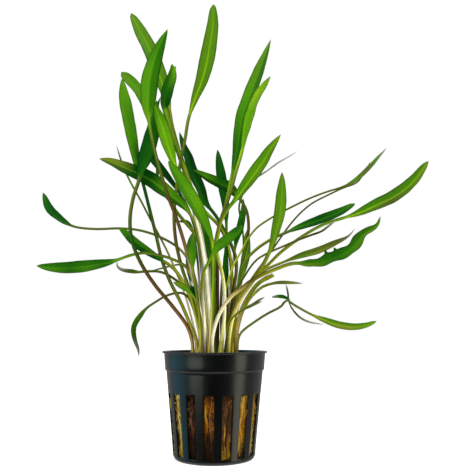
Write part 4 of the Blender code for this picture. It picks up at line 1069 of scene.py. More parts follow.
def leaf_colours(look, rows):
    """A colour for each point of each section. A bare stalk gets painted light, stronger towards its foot, a
    painted highlight along it, a line of painted shade as a groove holds, and painted shade on its sides. A
    blade has painted shade on one half, a midrib, darker margins and a tip of its own colour."""
    _, across, _, half, _, blade, along = rows
    x = AROUND[None, :]
    spread = np.abs(x)
    started = np.argmax(blade > 0) or len(blade)
    share = np.clip(along / max(along[min(started, len(along) - 1), 0], 1e-6), 0, 1)
    body = blend_to(stops(look.stalk, share), stops(look.blade, blade), smooth_step(blade, *BLADE_START))
    body = np.repeat(body, len(AROUND), axis=1)

    bare = 1 - smooth_step(blade, *BARE_END)
    # Painted light on the bare stalk, more towards its foot, and a painted highlight along it
    painted_foot_light = PAINTED_FOOT_LIGHT + PAINTED_FOOT_LIGHT_RISE * smooth_step(share, *PAINTED_FOOT_LIGHT_REACH)
    painted_gleam = PAINTED_GLEAM * bell(x, PAINTED_GLEAM_PLACE, PAINTED_GLEAM_WIDTH)
    body = body * (1 + (painted_foot_light + painted_gleam) * bare)[..., None]
    # A line of painted shade along the stalk, as a groove holds; the stalk's mesh has no groove
    groove = bell(x, GROOVE_SHADE_PLACE, GROOVE_SHADE_WIDTH)
    body = blend_to(body, PLANT_COLOURS["moss"], GROOVE_SHADE_WEIGHT * groove * bare)
    # Painted shade on the stalk's sides, blended towards brown
    side_shade = SIDE_SHADE_WEIGHT * smooth_step(spread, *PAINTED_SIDE_SHADE)
    body = blend_to(body, PLANT_COLOURS["bark"], side_shade * bare)

    # Painted shade on the half of the blade that the look names
    if look.shade:
        facing = {"right": RIGHT, "left": -RIGHT, "top": UP, "bottom": -UP}[look.side]
        sign = np.sign(across @ facing)[:, None]
        weight = smooth_step(sign * x, *SHADE_EDGE) * smooth_step(blade, *SHADE_START)
        body = blend_to(body, PLANT_COLOURS[look.shade], SHADE_WEIGHT * weight)
    line = bell(x * half, 0, RIB_LINE) * smooth_step(blade, *RIB_START)
    line = line * (1 - RIB_FADE * blade)
    body = blend_to(body, PLANT_COLOURS[look.rib], look.rib_gain * line)
    margin = smooth_step(spread, *MARGIN) * smooth_step(blade, 0, 1 / FLATTENING)
    body = body * (1 - MARGIN_SHADE * margin[..., None])
    end = smooth_step(blade, *TIP) * np.ones_like(spread)
    return blend_to(body, PLANT_COLOURS[look.tip], TIP_WEIGHT * end)


def fine_leaf(name, grown, look, settings, material, seed):
    """One leaf as a closed skin: a round stalk that opens into a thin blade with a midrib, a channel along it
    and ruffled margins. Its colours are painted on it."""
    rng = np.random.default_rng(seed)
    plan = grown.plan
    rows = fine_rows(grown)
    centre, across, upper, half, _, _, along = rows
    side, rise = leaf_sections(plan, look, settings, rows, rng)
    points = centre[:, None] + across[:, None] * side[..., None] + upper[:, None] * rise[..., None]
    colours = leaf_colours(look, rows)
    across_mm = AROUND[None, :] * half
    if plan.foot:
        points[0, :, 2] = CROWN_TOP - FOOT_SINK
    last = len(points) - 1
    if plan.blunt:
        ragged = rng.uniform(*TEAR, len(COLUMNS)) * min(1, plan.blunt / FULL_TEAR_WIDTH)
        ragged = np.concatenate([ragged, ragged[UNDERSIDE]])
        points[-1] += grown.frames()[1][-1] * ragged[:, None]
        last = len(points)

    # A whole leaf ends in one point, and a torn one in its last section
    vertices = np.concatenate([points[:last].reshape(-1, 3), centre[last:]])
    colours = np.concatenate([colours[:last].reshape(-1, 3), colours[last:, 0]])
    across_mm = np.concatenate([across_mm[:last].reshape(-1), np.zeros(len(centre) - last)])
    along_mm = np.concatenate([np.repeat(along[:last, 0], len(AROUND)), along[last:, 0]])
    piece = new_piece(name, vertices * MM, ring_faces(last, len(AROUND), not plan.blunt), material)
    face_out(piece)
    # These colours hold painted light and shade as well as the leaf's own colours
    paint(piece, "leaf_colour", colours)
    unwrap(piece, np.stack([across_mm, along_mm], axis=1))
    return piece


class Strand(Grown):
    """A withered strand or thread that hangs on another leaf, as a route on the sight plane of its own."""

    def __init__(self, points, depths, width, thick):
        self.plan = Leaf(None, [], [], depths, width, thick, turn=30, fold=6)
        self.seen = smooth_route(points)
        along = np.linspace(0, 1, len(self.seen))
        self.depth = depths[0] + (depths[1] - depths[0]) * along
        self.blade = np.maximum(along, 0.001)
        self.width = np.maximum(width * np.sin(np.pi * np.clip(along, 0.08, 1)) ** 0.6, 0.02)
        self.thick = thick * np.sqrt(1 - along**4)


def slot_width(height):
    share = np.clip((height - SLOT_FOOT) / (SLOT_TOP - SLOT_FOOT), 0, 1)
    return SLOT_FOOT_WIDTH + share * (SLOT_TOP_WIDTH - SLOT_FOOT_WIDTH)


def wall_radius(height):
    share = (height - CORNER_HEIGHT) / (STEP_HEIGHT - CORNER_HEIGHT)
    return WALL_FOOT_RADIUS + share * (WALL_TOP_RADIUS - WALL_FOOT_RADIUS)


def pot_mesh(settings, material):
    """The pot's skin, outer side and inner side, as rings of points with the slots left open and walled
    round. The rings' points follow the slots' edges, so that every edge is clean. Outer and inner list each
    ring's radius and height from the lip down: lip, plain band, step, slotted wall and foot."""
    slot_parts = 3
    rib_parts = settings.rib_parts
    slot_rows = [SLOT_TOP, 26, 21, 16, 11, 6.5, SLOT_FOOT]
    lip_foot = POT_HEIGHT - LIP_THICKNESS
    outer = [
        (LIP_RADIUS - 0.25, POT_HEIGHT), (LIP_RADIUS, POT_HEIGHT - 0.25), (LIP_RADIUS, lip_foot + 0.2),
        (LIP_RADIUS - 0.2, lip_foot), (BAND_TOP_RADIUS + 0.2, lip_foot), (BAND_TOP_RADIUS, lip_foot - 0.25),
        (BAND_TOP_RADIUS - 0.2, 46.5), (BAND_FOOT_RADIUS + 0.15, 43.6), (BAND_FOOT_RADIUS, 41.5),
        (BAND_FOOT_RADIUS - 0.12, 41.18), (BAND_FOOT_RADIUS - 0.5, STEP_HEIGHT + 0.22),
        (wall_radius(40.6) - 0.02, 40.55),
    ]
    outer += [(wall_radius(height), height) for height in (39.5, 36.5, 33, 31.3, *slot_rows, 1.9)]
    outer += [(wall_radius(CORNER_HEIGHT), 1.45), (19.45, 1.0), (FOOT_RADIUS + 0.45, 0.32),
              (FOOT_RADIUS + 0.1, 0.05), (FOOT_RADIUS - 0.3, 0.0), (FOOT_RADIUS - 1.2, 0.0)]
    inner = [
        (BAND_TOP_RADIUS - WALL + 0.15, POT_HEIGHT), (BAND_TOP_RADIUS - WALL - 0.1, POT_HEIGHT - 0.25),
        (BAND_TOP_RADIUS - WALL - 0.25, 47), (BAND_FOOT_RADIUS - WALL, 41.9), (WALL_TOP_RADIUS - WALL, 41.2),
    ]
    inner += [(wall_radius(height) - WALL, height) for height in (36.5, 33, 31.3, *slot_rows)]
    inner += [(wall_radius(2) - WALL, 1.8), (wall_radius(CORNER_HEIGHT) - WALL - 0.25, FLOOR + 0.05),
              (wall_radius(CORNER_HEIGHT) - WALL - 1.2, FLOOR)]
    columns = SLOTS * (slot_parts + rib_parts)
    part = np.arange(columns) % (slot_parts + rib_parts)
    sector = SLOT_PHASE + np.arange(columns) // (slot_parts + rib_parts) * 2 * np.pi / SLOTS

    def ring(radius, height):
        edge = np.arcsin(slot_width(height) / 2 / radius)
        in_slot = -edge + part / slot_parts * 2 * edge
        in_rib = edge + (part - slot_parts) / rib_parts * (2 * np.pi / SLOTS - 2 * edge)
        angle = sector + np.where(part <= slot_parts, in_slot, in_rib)
        return np.stack([radius * np.cos(angle), radius * np.sin(angle), np.full(columns, height)], axis=1)

    rings = [ring(*place) for place in outer] + [ring(*place) for place in inner]
    vertices = np.concatenate(rings + [np.array([[0, 0, 0.0], [0, 0, FLOOR]])])
    first_inner = len(outer)
    slot_count = len(slot_rows) - 1
    slot_start = outer.index((wall_radius(SLOT_TOP), SLOT_TOP))
    inner_start = first_inner + inner.index((wall_radius(SLOT_TOP) - WALL, SLOT_TOP))

    def at(row, column):
        return row * columns + column % columns

    faces = []

    def wall(rows, flip, slot_row):
        for row in rows:
            for column in range(columns):
                if slot_row <= row < slot_row + slot_count and part[column] < slot_parts:
                    continue
                face = (at(row, column), at(row, column + 1), at(row + 1, column + 1), at(row + 1, column))
                faces.append(face[::-1] if flip else face)

    wall(range(first_inner - 1), True, slot_start)
    wall(range(first_inner, len(rings) - 1), False, inner_start)
    for column in range(columns):
        faces.append((at(0, column), at(0, column + 1), at(first_inner, column + 1), at(first_inner, column)))
        faces.append((at(first_inner - 1, column), at(first_inner - 1, column + 1), len(vertices) - 2))
        faces.append((at(len(rings) - 1, column + 1), at(len(rings) - 1, column), len(vertices) - 1))
        if part[column] < slot_parts:
            for step, turn in ((0, 1), (slot_count, -1)):
                face = (at(slot_start + step, column), at(slot_start + step, column + 1),
                        at(inner_start + step, column + 1), at(inner_start + step, column))
                faces.append(face[::turn])
        if part[column] in (0, slot_parts):
            for step in range(slot_count):
                faces.append((at(slot_start + step, column), at(slot_start + step + 1, column),
                              at(inner_start + step + 1, column), at(inner_start + step, column)))
    pot = new_piece("net_pot_moulding", vertices * MM, faces, material, smooth=False)
    face_out(pot)
    return pot


def cut_floor(pot):
    """Drain slits in the floor, as spokes. Their cutters reach past both sides of the floor."""
    slits = bmesh.new()
    for index in range(FLOOR_SLITS):
        angle = index * 2 * math.pi / FLOOR_SLITS
        made = bmesh.ops.create_cube(slits, size=1)["verts"]
        for corner in made:
            out = FLOOR_SLIT_RADIUS + corner.co.x * FLOOR_SLIT[0]
            aside = corner.co.y * FLOOR_SLIT[1]
            corner.co = Vector((
                (out * math.cos(angle) - aside * math.sin(angle)) * MM,
                (out * math.sin(angle) + aside * math.cos(angle)) * MM,
                (corner.co.z * CUTTER_REACH + 0.5) * FLOOR * MM,
            ))
    mesh = bpy.data.meshes.new("slits")
    slits.to_mesh(mesh)
    slits.free()
    cutter = bpy.data.objects.new("slits", mesh)
    bpy.context.scene.collection.objects.link(cutter)
    cut = pot.modifiers.new("slits", "BOOLEAN")
    cut.object = cutter
    cut.solver = "EXACT"
    bake(pot)
    bpy.data.objects.remove(cutter)


def round_edges(piece, width):
    bevel = piece.modifiers.new("edges", "BEVEL")
    bevel.width = width
    bevel.segments = 2
    bevel.limit_method = "ANGLE"
    bevel.angle_limit = math.radians(EDGE_ANGLE)
    bake(piece)
    piece.data.shade_smooth()
    piece.data.set_sharp_from_angle(angle=math.radians(SHARP_ANGLE))


# Colours of the wool seen through the slots, by slot from the one at the left of the front, each from top to
# foot. The eight strips go twice round the sixteen slots.
WOOL_STRIPS = [
    "straw yellow gold gold straw gold", "straw gold straw gold wool", "umber soot umber umber soot",
    "umber amber amber amber bark umber bark", "bark rust brown rust gold bark",
    "gold gold amber gold brown bark", "wool gold wool straw grey", "umber brown maroon brown",
]


def wool_colours(points, rng):
    """The wool's stain for each point: strips that follow the slots, broken up by height and by chance."""
    angle = np.arctan2(points[:, 1], points[:, 0])
    sway = STRIP_SWAY * np.sin(points[:, 2] * STRIP_SWAY_TURN)
    sector = (angle - SLOT_PHASE) / (2 * np.pi / SLOTS) + FIRST_STRIP + sway
    strip = np.floor(sector).astype(int) % len(WOOL_STRIPS)
    height = np.clip((SLOT_TOP - points[:, 2]) / SLOT_TOP, 0, 1)
    colours = np.zeros((len(points), 3))
    for number, names in enumerate(WOOL_STRIPS):
        mine = strip == number
        wander = np.clip(height[mine] + rng.normal(0, STAIN_WANDER, mine.sum()), 0, 1)
        colours[mine] = stops(names, wander)
    return colours


def plug_radius(height):
    share = (height - PLUG_FOOT) / (PLUG_TOP - PLUG_FOOT)
    return PLUG_FOOT_RADIUS + share * (PLUG_TOP_RADIUS - PLUG_FOOT_RADIUS)


def rock_wool_block(settings, material):
    """The plug's skin, lumpy with packed fibre. Its rows of points run up its side and in over its top."""
    rng = np.random.default_rng(WOOL_SEED)
    around = 220
    heights = np.linspace(PLUG_FOOT, PLUG_TOP - 0.6, 70)
    rows = list(zip(plug_radius(heights) + WOOL_SKIN, heights))
    rows += [(PLUG_TOP_RADIUS - 0.8, PLUG_TOP - 0.1)]
    rows += [(radius, PLUG_TOP) for radius in np.linspace(PLUG_TOP_RADIUS - 1.6, 1.5, 20)]
    angle = np.arange(around) * 2 * np.pi / around
    waves = [(rng.integers(3, 40), rng.uniform(0.05, 0.9), rng.uniform(0, 6.3)) for _ in range(26)]
    points = []
    for radius, height in rows:
        lump = sum(np.sin(count * angle + pitch * height + phase + radius) / (4 + count * 0.35)
                   for count, pitch, phase in waves)
        lump = lump * settings.lump
        if height >= PLUG_TOP:
            out, level = radius, height + lump * 0.9
        else:
            out, level = radius + np.clip(lump, -0.9, 0.35), np.full(around, height)
        points.append(np.stack([out * np.cos(angle), out * np.sin(angle), level], axis=1))
    points = np.concatenate(points + [np.array([[0, 0, PLUG_TOP], [0, 0, PLUG_FOOT]])])
    faces = side_faces(len(rows), around)
    last = (len(rows) - 1) * around
    for side in range(around):
        after = (side + 1) % around
        faces.append((last + side, last + after, len(points) - 2))
        faces.append((after, side, len(points) - 1))
    block = new_piece("rock_wool_block", points * MM, faces, material)
    face_out(block)
    paint(block, "wool_colour", wool_colours(points, rng))
    return block


def fibre_tree(name, count, length, thickness, lift, seed, material):
    """Scatters short bent fibres over a surface, each turned and sized by chance. A fibre keeps the colour
    that the surface has at its root."""
    tree = bpy.data.node_groups.new(name, "GeometryNodeTree")
    tree.interface.new_socket("Geometry", in_out="INPUT", socket_type="NodeSocketGeometry")
    for label, value in (("Count per square metre", count), ("Fibre length", length),
                         ("Fibre thickness", thickness), ("Lift", lift), ("Seed", seed)):
        kind = "NodeSocketInt" if label == "Seed" else "NodeSocketFloat"
        tree.interface.new_socket(label, in_out="INPUT", socket_type=kind).default_value = value
    tree.interface.new_socket("Geometry", in_out="OUTPUT", socket_type="NodeSocketGeometry")
    given = tree.nodes.new("NodeGroupInput").outputs
    scatter = add_node(tree, "GeometryNodeDistributePointsOnFaces", inputs={
        "Mesh": given["Geometry"], "Density": given["Count per square metre"], "Seed": given["Seed"]})
    arc = add_node(tree, "GeometryNodeCurveQuadraticBezier", inputs={"Resolution": 4})
    for label, share in (("Start", (-0.5, 0, 0)), ("Middle", (0, 0.25, 0.3)), ("End", (0.5, 0, 0.05))):
        end = add_node(tree, "ShaderNodeVectorMath", {"operation": "SCALE"}, {
            0: share, "Scale": given["Fibre length"]})
        tree.links.new(end.outputs[0], arc.inputs[label])
    profile = add_node(tree, "GeometryNodeCurvePrimitiveCircle", inputs={
        "Resolution": 3, "Radius": given["Fibre thickness"]})
    fibre = add_node(tree, "GeometryNodeCurveToMesh", inputs={
        "Curve": arc.outputs[0], "Profile Curve": profile.outputs[0], "Fill Caps": True})
    spin = add_node(tree, "FunctionNodeRandomValue", {"data_type": "FLOAT_VECTOR"}, {
        "Min": (-0.35, -0.5, 0.0), "Max": (0.35, 0.5, 6.283), "Seed": given["Seed"]})
    facing = add_node(tree, "FunctionNodeAlignRotationToVector", {"axis": "Z"}, {
        "Vector": scatter.outputs["Normal"]})
    turn = add_node(tree, "FunctionNodeRotateRotation", {"rotation_space": "LOCAL"}, {
        "Rotation": facing.outputs[0], "Rotate By": spin.outputs[0]})
    size = add_node(tree, "FunctionNodeRandomValue", {"data_type": "FLOAT"}, {
        2: 0.45, 3: 1.35, "Seed": given["Seed"]})
    up = add_node(tree, "ShaderNodeVectorMath", {"operation": "SCALE"}, {
        0: scatter.outputs["Normal"], "Scale": given["Lift"]})
    lifted = add_node(tree, "GeometryNodeSetPosition", inputs={
        "Geometry": scatter.outputs["Points"], "Offset": up.outputs[0]})
    placed = add_node(tree, "GeometryNodeInstanceOnPoints", inputs={
        "Points": lifted.outputs[0], "Instance": fibre.outputs[0], "Rotation": turn.outputs[0],
        "Scale": size.outputs[1]})
    real = add_node(tree, "GeometryNodeRealizeInstances", inputs={"Geometry": placed.outputs[0]})
    smooth = add_node(tree, "GeometryNodeSetShadeSmooth", inputs={"Geometry": real.outputs[0]})
    final = add_node(tree, "GeometryNodeSetMaterial", inputs={
        "Geometry": smooth.outputs[0], "Material": material})
    add_node(tree, "NodeGroupOutput", inputs={0: final.outputs[0]})
    return tree


def scatter_fibres(name, surface, settings, material):
    """Fibres grown by Geometry Nodes on a copy of a surface without its underside, as a plain mesh."""
    sheet = surface.data.copy()
    bm = bmesh.new()
    bm.from_mesh(sheet)
    under = [face for face in bm.faces if face.normal.z < -0.9]
    bmesh.ops.delete(bm, geom=under, context="FACES")
    bm.to_mesh(sheet)
    bm.free()
    piece = bpy.data.objects.new(name, sheet)
    bpy.context.scene.collection.objects.link(piece)
    piece.modifiers.new("fibres", "NODES").node_group = fibre_tree(
        name + "_tree", settings.fibres, settings.fibre_length, settings.fibre_thickness, FIBRE_LIFT,
        settings.seed, material)
    bake(piece)
    return piece


def tube(points, radii, sides):
    """A closed tube along points, with a radius at each: its vertices and faces."""
    tangent = unit(np.gradient(points, axis=0))
    guide = np.where(np.abs(tangent[:, 2:]) < 0.9, [[0, 0, 1.0]], [[1.0, 0, 0]])
    first = unit(np.cross(tangent, guide))
    second = np.cross(tangent, first)
    angle = np.arange(sides) * 2 * np.pi / sides
    ring = (first[:, None] * np.cos(angle)[None, :, None] + second[:, None] * np.sin(angle)[None, :, None])
    vertices = points[:, None] + ring * radii[:, None, None]
    return vertices.reshape(-1, 3), ring_faces(len(points), sides, False)


def joined_tubes(name, tubes, attribute, material):
    """Many tubes as one mesh. A tube is its points, radii, side count and a colour for each point."""
    vertices, faces, colours = [], [], []
    base = 0
    for points, radii, sides, tints in tubes:
        skin, quads = tube(points, radii, sides)
        vertices.append(skin)
        faces += [tuple(base + corner for corner in quad) for quad in quads]
        colours.append(np.repeat(tints, sides, axis=0))
        base += len(skin)
    piece = new_piece(name, np.concatenate(vertices) * MM, faces, material)
    face_out(piece)
    paint(piece, attribute, np.concatenate(colours))
    return piece


ROOT_COLOURS = ("maroon umber", "umber maroon brown", "rust brown umber", "gold rust umber",
                "wool rust umber", "maroon rust umber")

# Roots that the front slots show: (angle in degrees from the front, top and foot height, radius, colours)
FRONT_ROOTS = [
    (-50.0, 29, 4, 0.5, "wool straw gold"), (-47.0, 25, 9, 0.35, "gold wool"),
    (-27.5, 30, 3, 0.55, "maroon rust maroon umber"), (-24.5, 30, 6, 0.5, "umber maroon umber"),
    (-30.5, 28, 12, 0.4, "rust maroon"), (-8.5, 27, 12, 0.6, "amber gold amber umber"),
    (-5.0, 30, 3, 0.5, "maroon umber soot"), (-2.8, 29, 5, 0.45, "amber rust umber"),
    (13.2, 30, 3, 0.5, "umber rust umber"), (16.0, 27, 5, 0.45, "rust brown gold wool"),
    (18.6, 30, 4, 0.5, "umber maroon umber"), (35.5, 30, 3, 0.75, "gold amber gold straw"),
    (38.8, 30, 3, 0.6, "straw gold amber"), (58.0, 30, 3, 0.6, "straw gold"), (60.5, 28, 5, 0.45, "gold"),
]


def root_tubes(settings):
    """Roots that run down the wool, swaying round it and diving into it: those that the front slots show, and
    others all round by chance."""
    rng = np.random.default_rng(settings.seed)
    plans = []
    for degrees, top, foot, radius, names in FRONT_ROOTS:
        plans.append((math.radians(degrees - 90), top, foot, radius, names, FRONT_ROOT_WANDER))
    for _ in range(settings.count):
        plans.append((rng.uniform(0, 2 * np.pi), rng.uniform(24, 40), rng.uniform(2.2, 14),
                      rng.uniform(0.12, 0.34), ROOT_COLOURS[rng.integers(len(ROOT_COLOURS))],
                      rng.uniform(0.03, 0.16)))
    tubes = []
    for angle, top, foot, radius, names, wander in plans:
        heights = np.linspace(top, foot, ROOT_ROWS)
        phase = rng.uniform(0, 2 * np.pi, 3)
        path = angle + wander * (np.sin(heights / 3.1 + phase[0]) + 0.6 * np.sin(heights / 1.4 + phase[1]))
        out = plug_radius(heights) + ROOT_LIFT + ROOT_DIVE * np.sin(heights / 2.3 + phase[2])
        points = np.stack([out * np.cos(path), out * np.sin(path), heights], axis=1)
        radii = radius * np.sin(np.pi * np.linspace(0.06, 0.97, ROOT_ROWS)) ** 0.4
        tubes.append((points, radii, ROOT_SIDES, stops(names, np.linspace(0, 1, ROOT_ROWS))))
    return tubes


def crown_piece(settings, feet, material):
    """The crown: a lumpy mat of short rhizomes, raised a little round each stalk's foot. Its rows of points
    run up from its skirt and in over its top."""
    rng = np.random.default_rng(CROWN_SEED)
    around = 150
    angle = np.arange(around) * 2 * np.pi / around
    waves = [(rng.uniform(-1.4, 1.4, 2), rng.uniform(0, 6.3)) for _ in range(14)]
    outline = 1 + 0.035 * np.cos(5 * angle + 3) + 0.02 * np.sin(13 * angle)
    points, tints = [], []
    for share in np.linspace(1, 0.02, 46):
        plan = np.stack([CROWN_HALF_X * share * outline * np.cos(angle),
                         CROWN_HALF_Y * share * outline * np.sin(angle)], axis=1)
        rough = sum(np.sin(plan @ wave + phase) for wave, phase in waves) / len(waves)
        near = np.min(np.linalg.norm(plan[:, None] - feet[None], axis=2), axis=1)
        edge = CROWN_ROUNDING * smooth_step(np.array(share), 0.86, 1.0)
        height = CROWN_TOP - 0.5 + CROWN_ROUGHNESS * rough + settings.nub * bell(near, 0, NUB_WIDTH) - edge
        points.append(np.concatenate([plan, height[:, None]], axis=1))
        tint = stops("umber rust brown rust", np.clip(0.5 + rough * 1.6, 0, 1))
        tints.append(blend_to(tint, PLANT_COLOURS["straw"], 0.75 * bell(near, 0, PALE_WIDTH)))
    skirt = points[0] * (0.96, 0.96, 1)
    skirt[:, 2] = CROWN_TOP - CROWN_SKIRT
    points.insert(0, skirt)
    tints.insert(0, tints[0] * 0.4)
    faces = ring_faces(len(points), around, False)
    piece = new_piece("crown_rhizomes", np.concatenate(points) * MM, faces, material)
    face_out(piece)
    paint(piece, "root_colour", np.concatenate(tints))
    return piece


def millimetres(name, description, default, low, high):
    return FloatProperty(name=name, description=description + ", in millimetres", default=default, min=low,
                         max=high)


class PotSettings(bpy.types.PropertyGroup):
    tone: FloatVectorProperty(name="Plastic", description="Colour of the moulded plastic", subtype="COLOR",
                              size=4, min=0, max=1, default=colour("030404"))
    rib_parts: IntProperty(name="Rib parts", description="Facets across a rib between two slots", default=9,
                           min=2, max=24)
    edge: FloatProperty(name="Edge", description="Rounding of the moulded edges", default=0.00013, min=0,
                        max=0.001, unit="LENGTH")


class WoolSettings(bpy.types.PropertyGroup):
    lump: millimetres("Lumps", "Height of the wool's lumps", 0.45, 0, 2)
    fibres: IntProperty(name="Fibres", description="Fibres for each square metre of wool", default=520000,
                        min=0)
    fibre_length: FloatProperty(name="Fibre length", description="Length of a fibre", default=0.0030,
                                min=0.0005, max=0.01, unit="LENGTH")
    fibre_thickness: FloatProperty(name="Fibre thickness", description="Radius of a fibre, drawn coarser "
                                   "than real mineral wool so that it shows", default=0.00009, min=0.00001,
                                   max=0.0005, unit="LENGTH")
    seed: IntProperty(name="Seed", description="Seed of the fibres' places", default=7)


class RootSettings(bpy.types.PropertyGroup):
    count: IntProperty(name="Roots", description="Loose roots round the wool", default=90, min=0, max=400)
    seed: IntProperty(name="Seed", description="Seed of the roots' routes", default=23)
    nub: millimetres("Nub", "Rise of the crown round a stalk's foot", 1.1, 0, 3)


class LeafSettings(bpy.types.PropertyGroup):
    lamina: millimetres("Lamina", "Thickness of a blade", 0.34, 0.1, 1)
    rib_height: millimetres("Rib height", "How far the midrib stands out below the blade", 0.55, 0, 2)
    rib_groove: millimetres("Rib groove", "Depth of the channel over the midrib", 0.14, 0, 0.5)
    rib_width: millimetres("Rib width", "Half width of the midrib", 0.6, 0.1, 2)
    ruffle_pitch: millimetres("Ruffle pitch", "Length of a margin's waves", 19, 2, 60)
    roughness: FloatProperty(name="Roughness", description="Roughness of the leaf's waxy skin", default=0.42,
                             min=0.05, max=1)


class StageSettings(bpy.types.PropertyGroup):
    floor: FloatVectorProperty(name="Floor", description="Colour of the studio floor", subtype="COLOR",
                               size=4, min=0, max=1, default=colour("f7f7f5"))
    side_light: FloatProperty(name="Side lights", description="Power of the two side soft boxes", default=4.2,
                              min=0, unit="POWER")
    top_light: FloatProperty(name="Top light", description="Power of the overhead soft box", default=8.0,
                             min=0, unit="POWER")
    sky: FloatProperty(name="Sky", description="Strength of the light from all round", default=0.5, min=0)


class CRYPTO_OT_net_pot(bpy.types.Operator):
    """Make the moulded net pot with its lip, step, slots and floor slits"""
    bl_idname = "crypto.net_pot"
    bl_label = "Net pot"

    def execute(self, context):
        settings = context.scene.crypto_pot
        pot = pot_mesh(settings, moulded_polypropylene(tuple(settings.tone)))
        cut_floor(pot)
        round_edges(pot, settings.edge)
        keep(pot, "black_plastic", "net_pot")
        return {"FINISHED"}


class CRYPTO_OT_rock_wool(bpy.types.Operator):
    """Make the rock wool block and the fibres that stand on it"""
    bl_idname = "crypto.rock_wool"
    bl_label = "Rock wool"

    def execute(self, context):
        settings = context.scene.crypto_wool
        packed = wet_fibre("packed_rock_wool", "wool_colour", 0.85, 900.0, 0.45)
        loose = wet_fibre("loose_rock_wool", "wool_colour", 0.7, 500.0, 0.6)
        block = rock_wool_block(settings, packed)
        fibres = scatter_fibres("rock_wool_fibres", block, settings, loose)
        keep(block, "rock_wool", "rockwool_plug")
        keep(fibres, "rock_wool")
        return {"FINISHED"}


class CRYPTO_OT_roots(bpy.types.Operator):
    """Make the roots that run down the wool behind the slots"""
    bl_idname = "crypto.roots"
    bl_label = "Roots"

    def execute(self, context):
        bark = wet_fibre("root_skin", "root_colour", 0.45, 700.0, 0.35)
        roots = joined_tubes("roots", root_tubes(context.scene.crypto_roots), "root_colour", bark)
        keep(roots, "rock_wool")
        return {"FINISHED"}


class CRYPTO_OT_crown(bpy.types.Operator):
    """Make the crown that the stalks grow from"""
    bl_idname = "crypto.crown"
    bl_label = "Crown"

    def execute(self, context):
        feet = np.array([leaf.foot for leaf in LEAVES.values()], float)
        skin = wet_fibre("rhizome_skin", "root_colour", 0.6, 600.0, 0.4)
        crown = crown_piece(context.scene.crypto_roots, feet, skin)
        keep(crown, "crown_skin", "crown")
        return {"FINISHED"}


class CRYPTO_OT_leaves(bpy.types.Operator):
    """Make every leaf, and the withered strands on the low right leaf's knee"""
    bl_idname = "crypto.leaves"
    bl_label = "Leaves"

    def execute(self, context):
        settings = context.scene.crypto_leaves
        fresh = leaf_cuticle("fresh_leaf", settings.roughness, 0.15, 0.25)
        dry = leaf_cuticle("withered_leaf", settings.roughness + 0.25, 0.4, 0.5)
        grown = [Grown(leaf) for leaf in LEAVES.values()]
        settle(grown)
        for number, (name, leaf) in enumerate(zip(LEAVES, grown)):
            material = dry if leaf.plan.green == "dry" else fresh
            piece = fine_leaf(name, leaf, LOOKS[name], settings, material, number + 1)
            keep(piece, "leaf_" + leaf.plan.green, "leaf_" + name)
        for number, (name, strand) in enumerate(STRANDS.items()):
            points, depths, width, thick, colours = strand
            look = Look(colours, colours, rib="moss", rib_gain=0.2, wave=0.15, tip="ash")
            piece = fine_leaf(name, Strand(points, depths, width, thick), look, settings, dry,
                              number + STRAND_SEED)
            keep(piece, "leaf_dry")
        return {"FINISHED"}


class CRYPTO_OT_stage(bpy.types.Operator):
    """Make the floor, the soft boxes, the sky and the camera"""
    bl_idname = "crypto.stage"
    bl_label = "Studio"

    def execute(self, context):
        settings = context.scene.crypto_stage
        make_floor(tuple(settings.floor))
        soft_box("left_box", (-0.56, -0.62, 0.27), (0, 0, 0.02), (0.6, 1.1), settings.side_light, "f0fae8")
        soft_box("right_box", (0.74, -0.38, 0.16), (0, 0, 0.02), (0.42, 1.4), settings.side_light, "fffae6")
        soft_box("top_box", (0.05, -0.05, 1.1), (0, 0, 0.12), (1.1, 0.9), settings.top_light, "ffffff")
        make_sky(settings.sky)
        make_camera()
        context.scene.view_settings.view_transform = "Standard"
        return {"FINISHED"}


def make_floor(tone):
    """Matt white paper. It glows a little, as paper lit from behind does, and no gloss mirrors it."""
    material, tree, shader = new_material("matt_white_paper")
    rays = add_node(tree, "ShaderNodeLightPath")
    glow = add_node(tree, "ShaderNodeMath", {"operation": "MULTIPLY"}, {
        0: rays.outputs["Is Camera Ray"], 1: FLOOR_GLOW})
    set_shader(tree, shader, Base_Color=tone, Roughness=0.9, Specular_IOR_Level=0.1,
               Emission_Color=WHITE, Emission_Strength=glow.outputs[0])
    corners = [(x * FLOOR_REACH, y * FLOOR_REACH, 0) for x, y in ((-1, -1), (1, -1), (1, 1), (-1, 1))]
    floor = new_piece("studio_floor", corners, [(0, 1, 2, 3)], material, smooth=False)
    floor.visible_glossy = False


def soft_box(name, place, target, size, power, tone):
    light = bpy.data.lights.new(name, "AREA")
    light.shape = "RECTANGLE"
    light.size, light.size_y = size
    light.energy = power
    light.color = tuple(srgb(tone))
    lamp = bpy.data.objects.new(name, light)
    lamp.location = place
    lamp.rotation_euler = (Vector(target) - Vector(place)).to_track_quat("-Z", "Y").to_euler()
    bpy.context.scene.collection.objects.link(lamp)


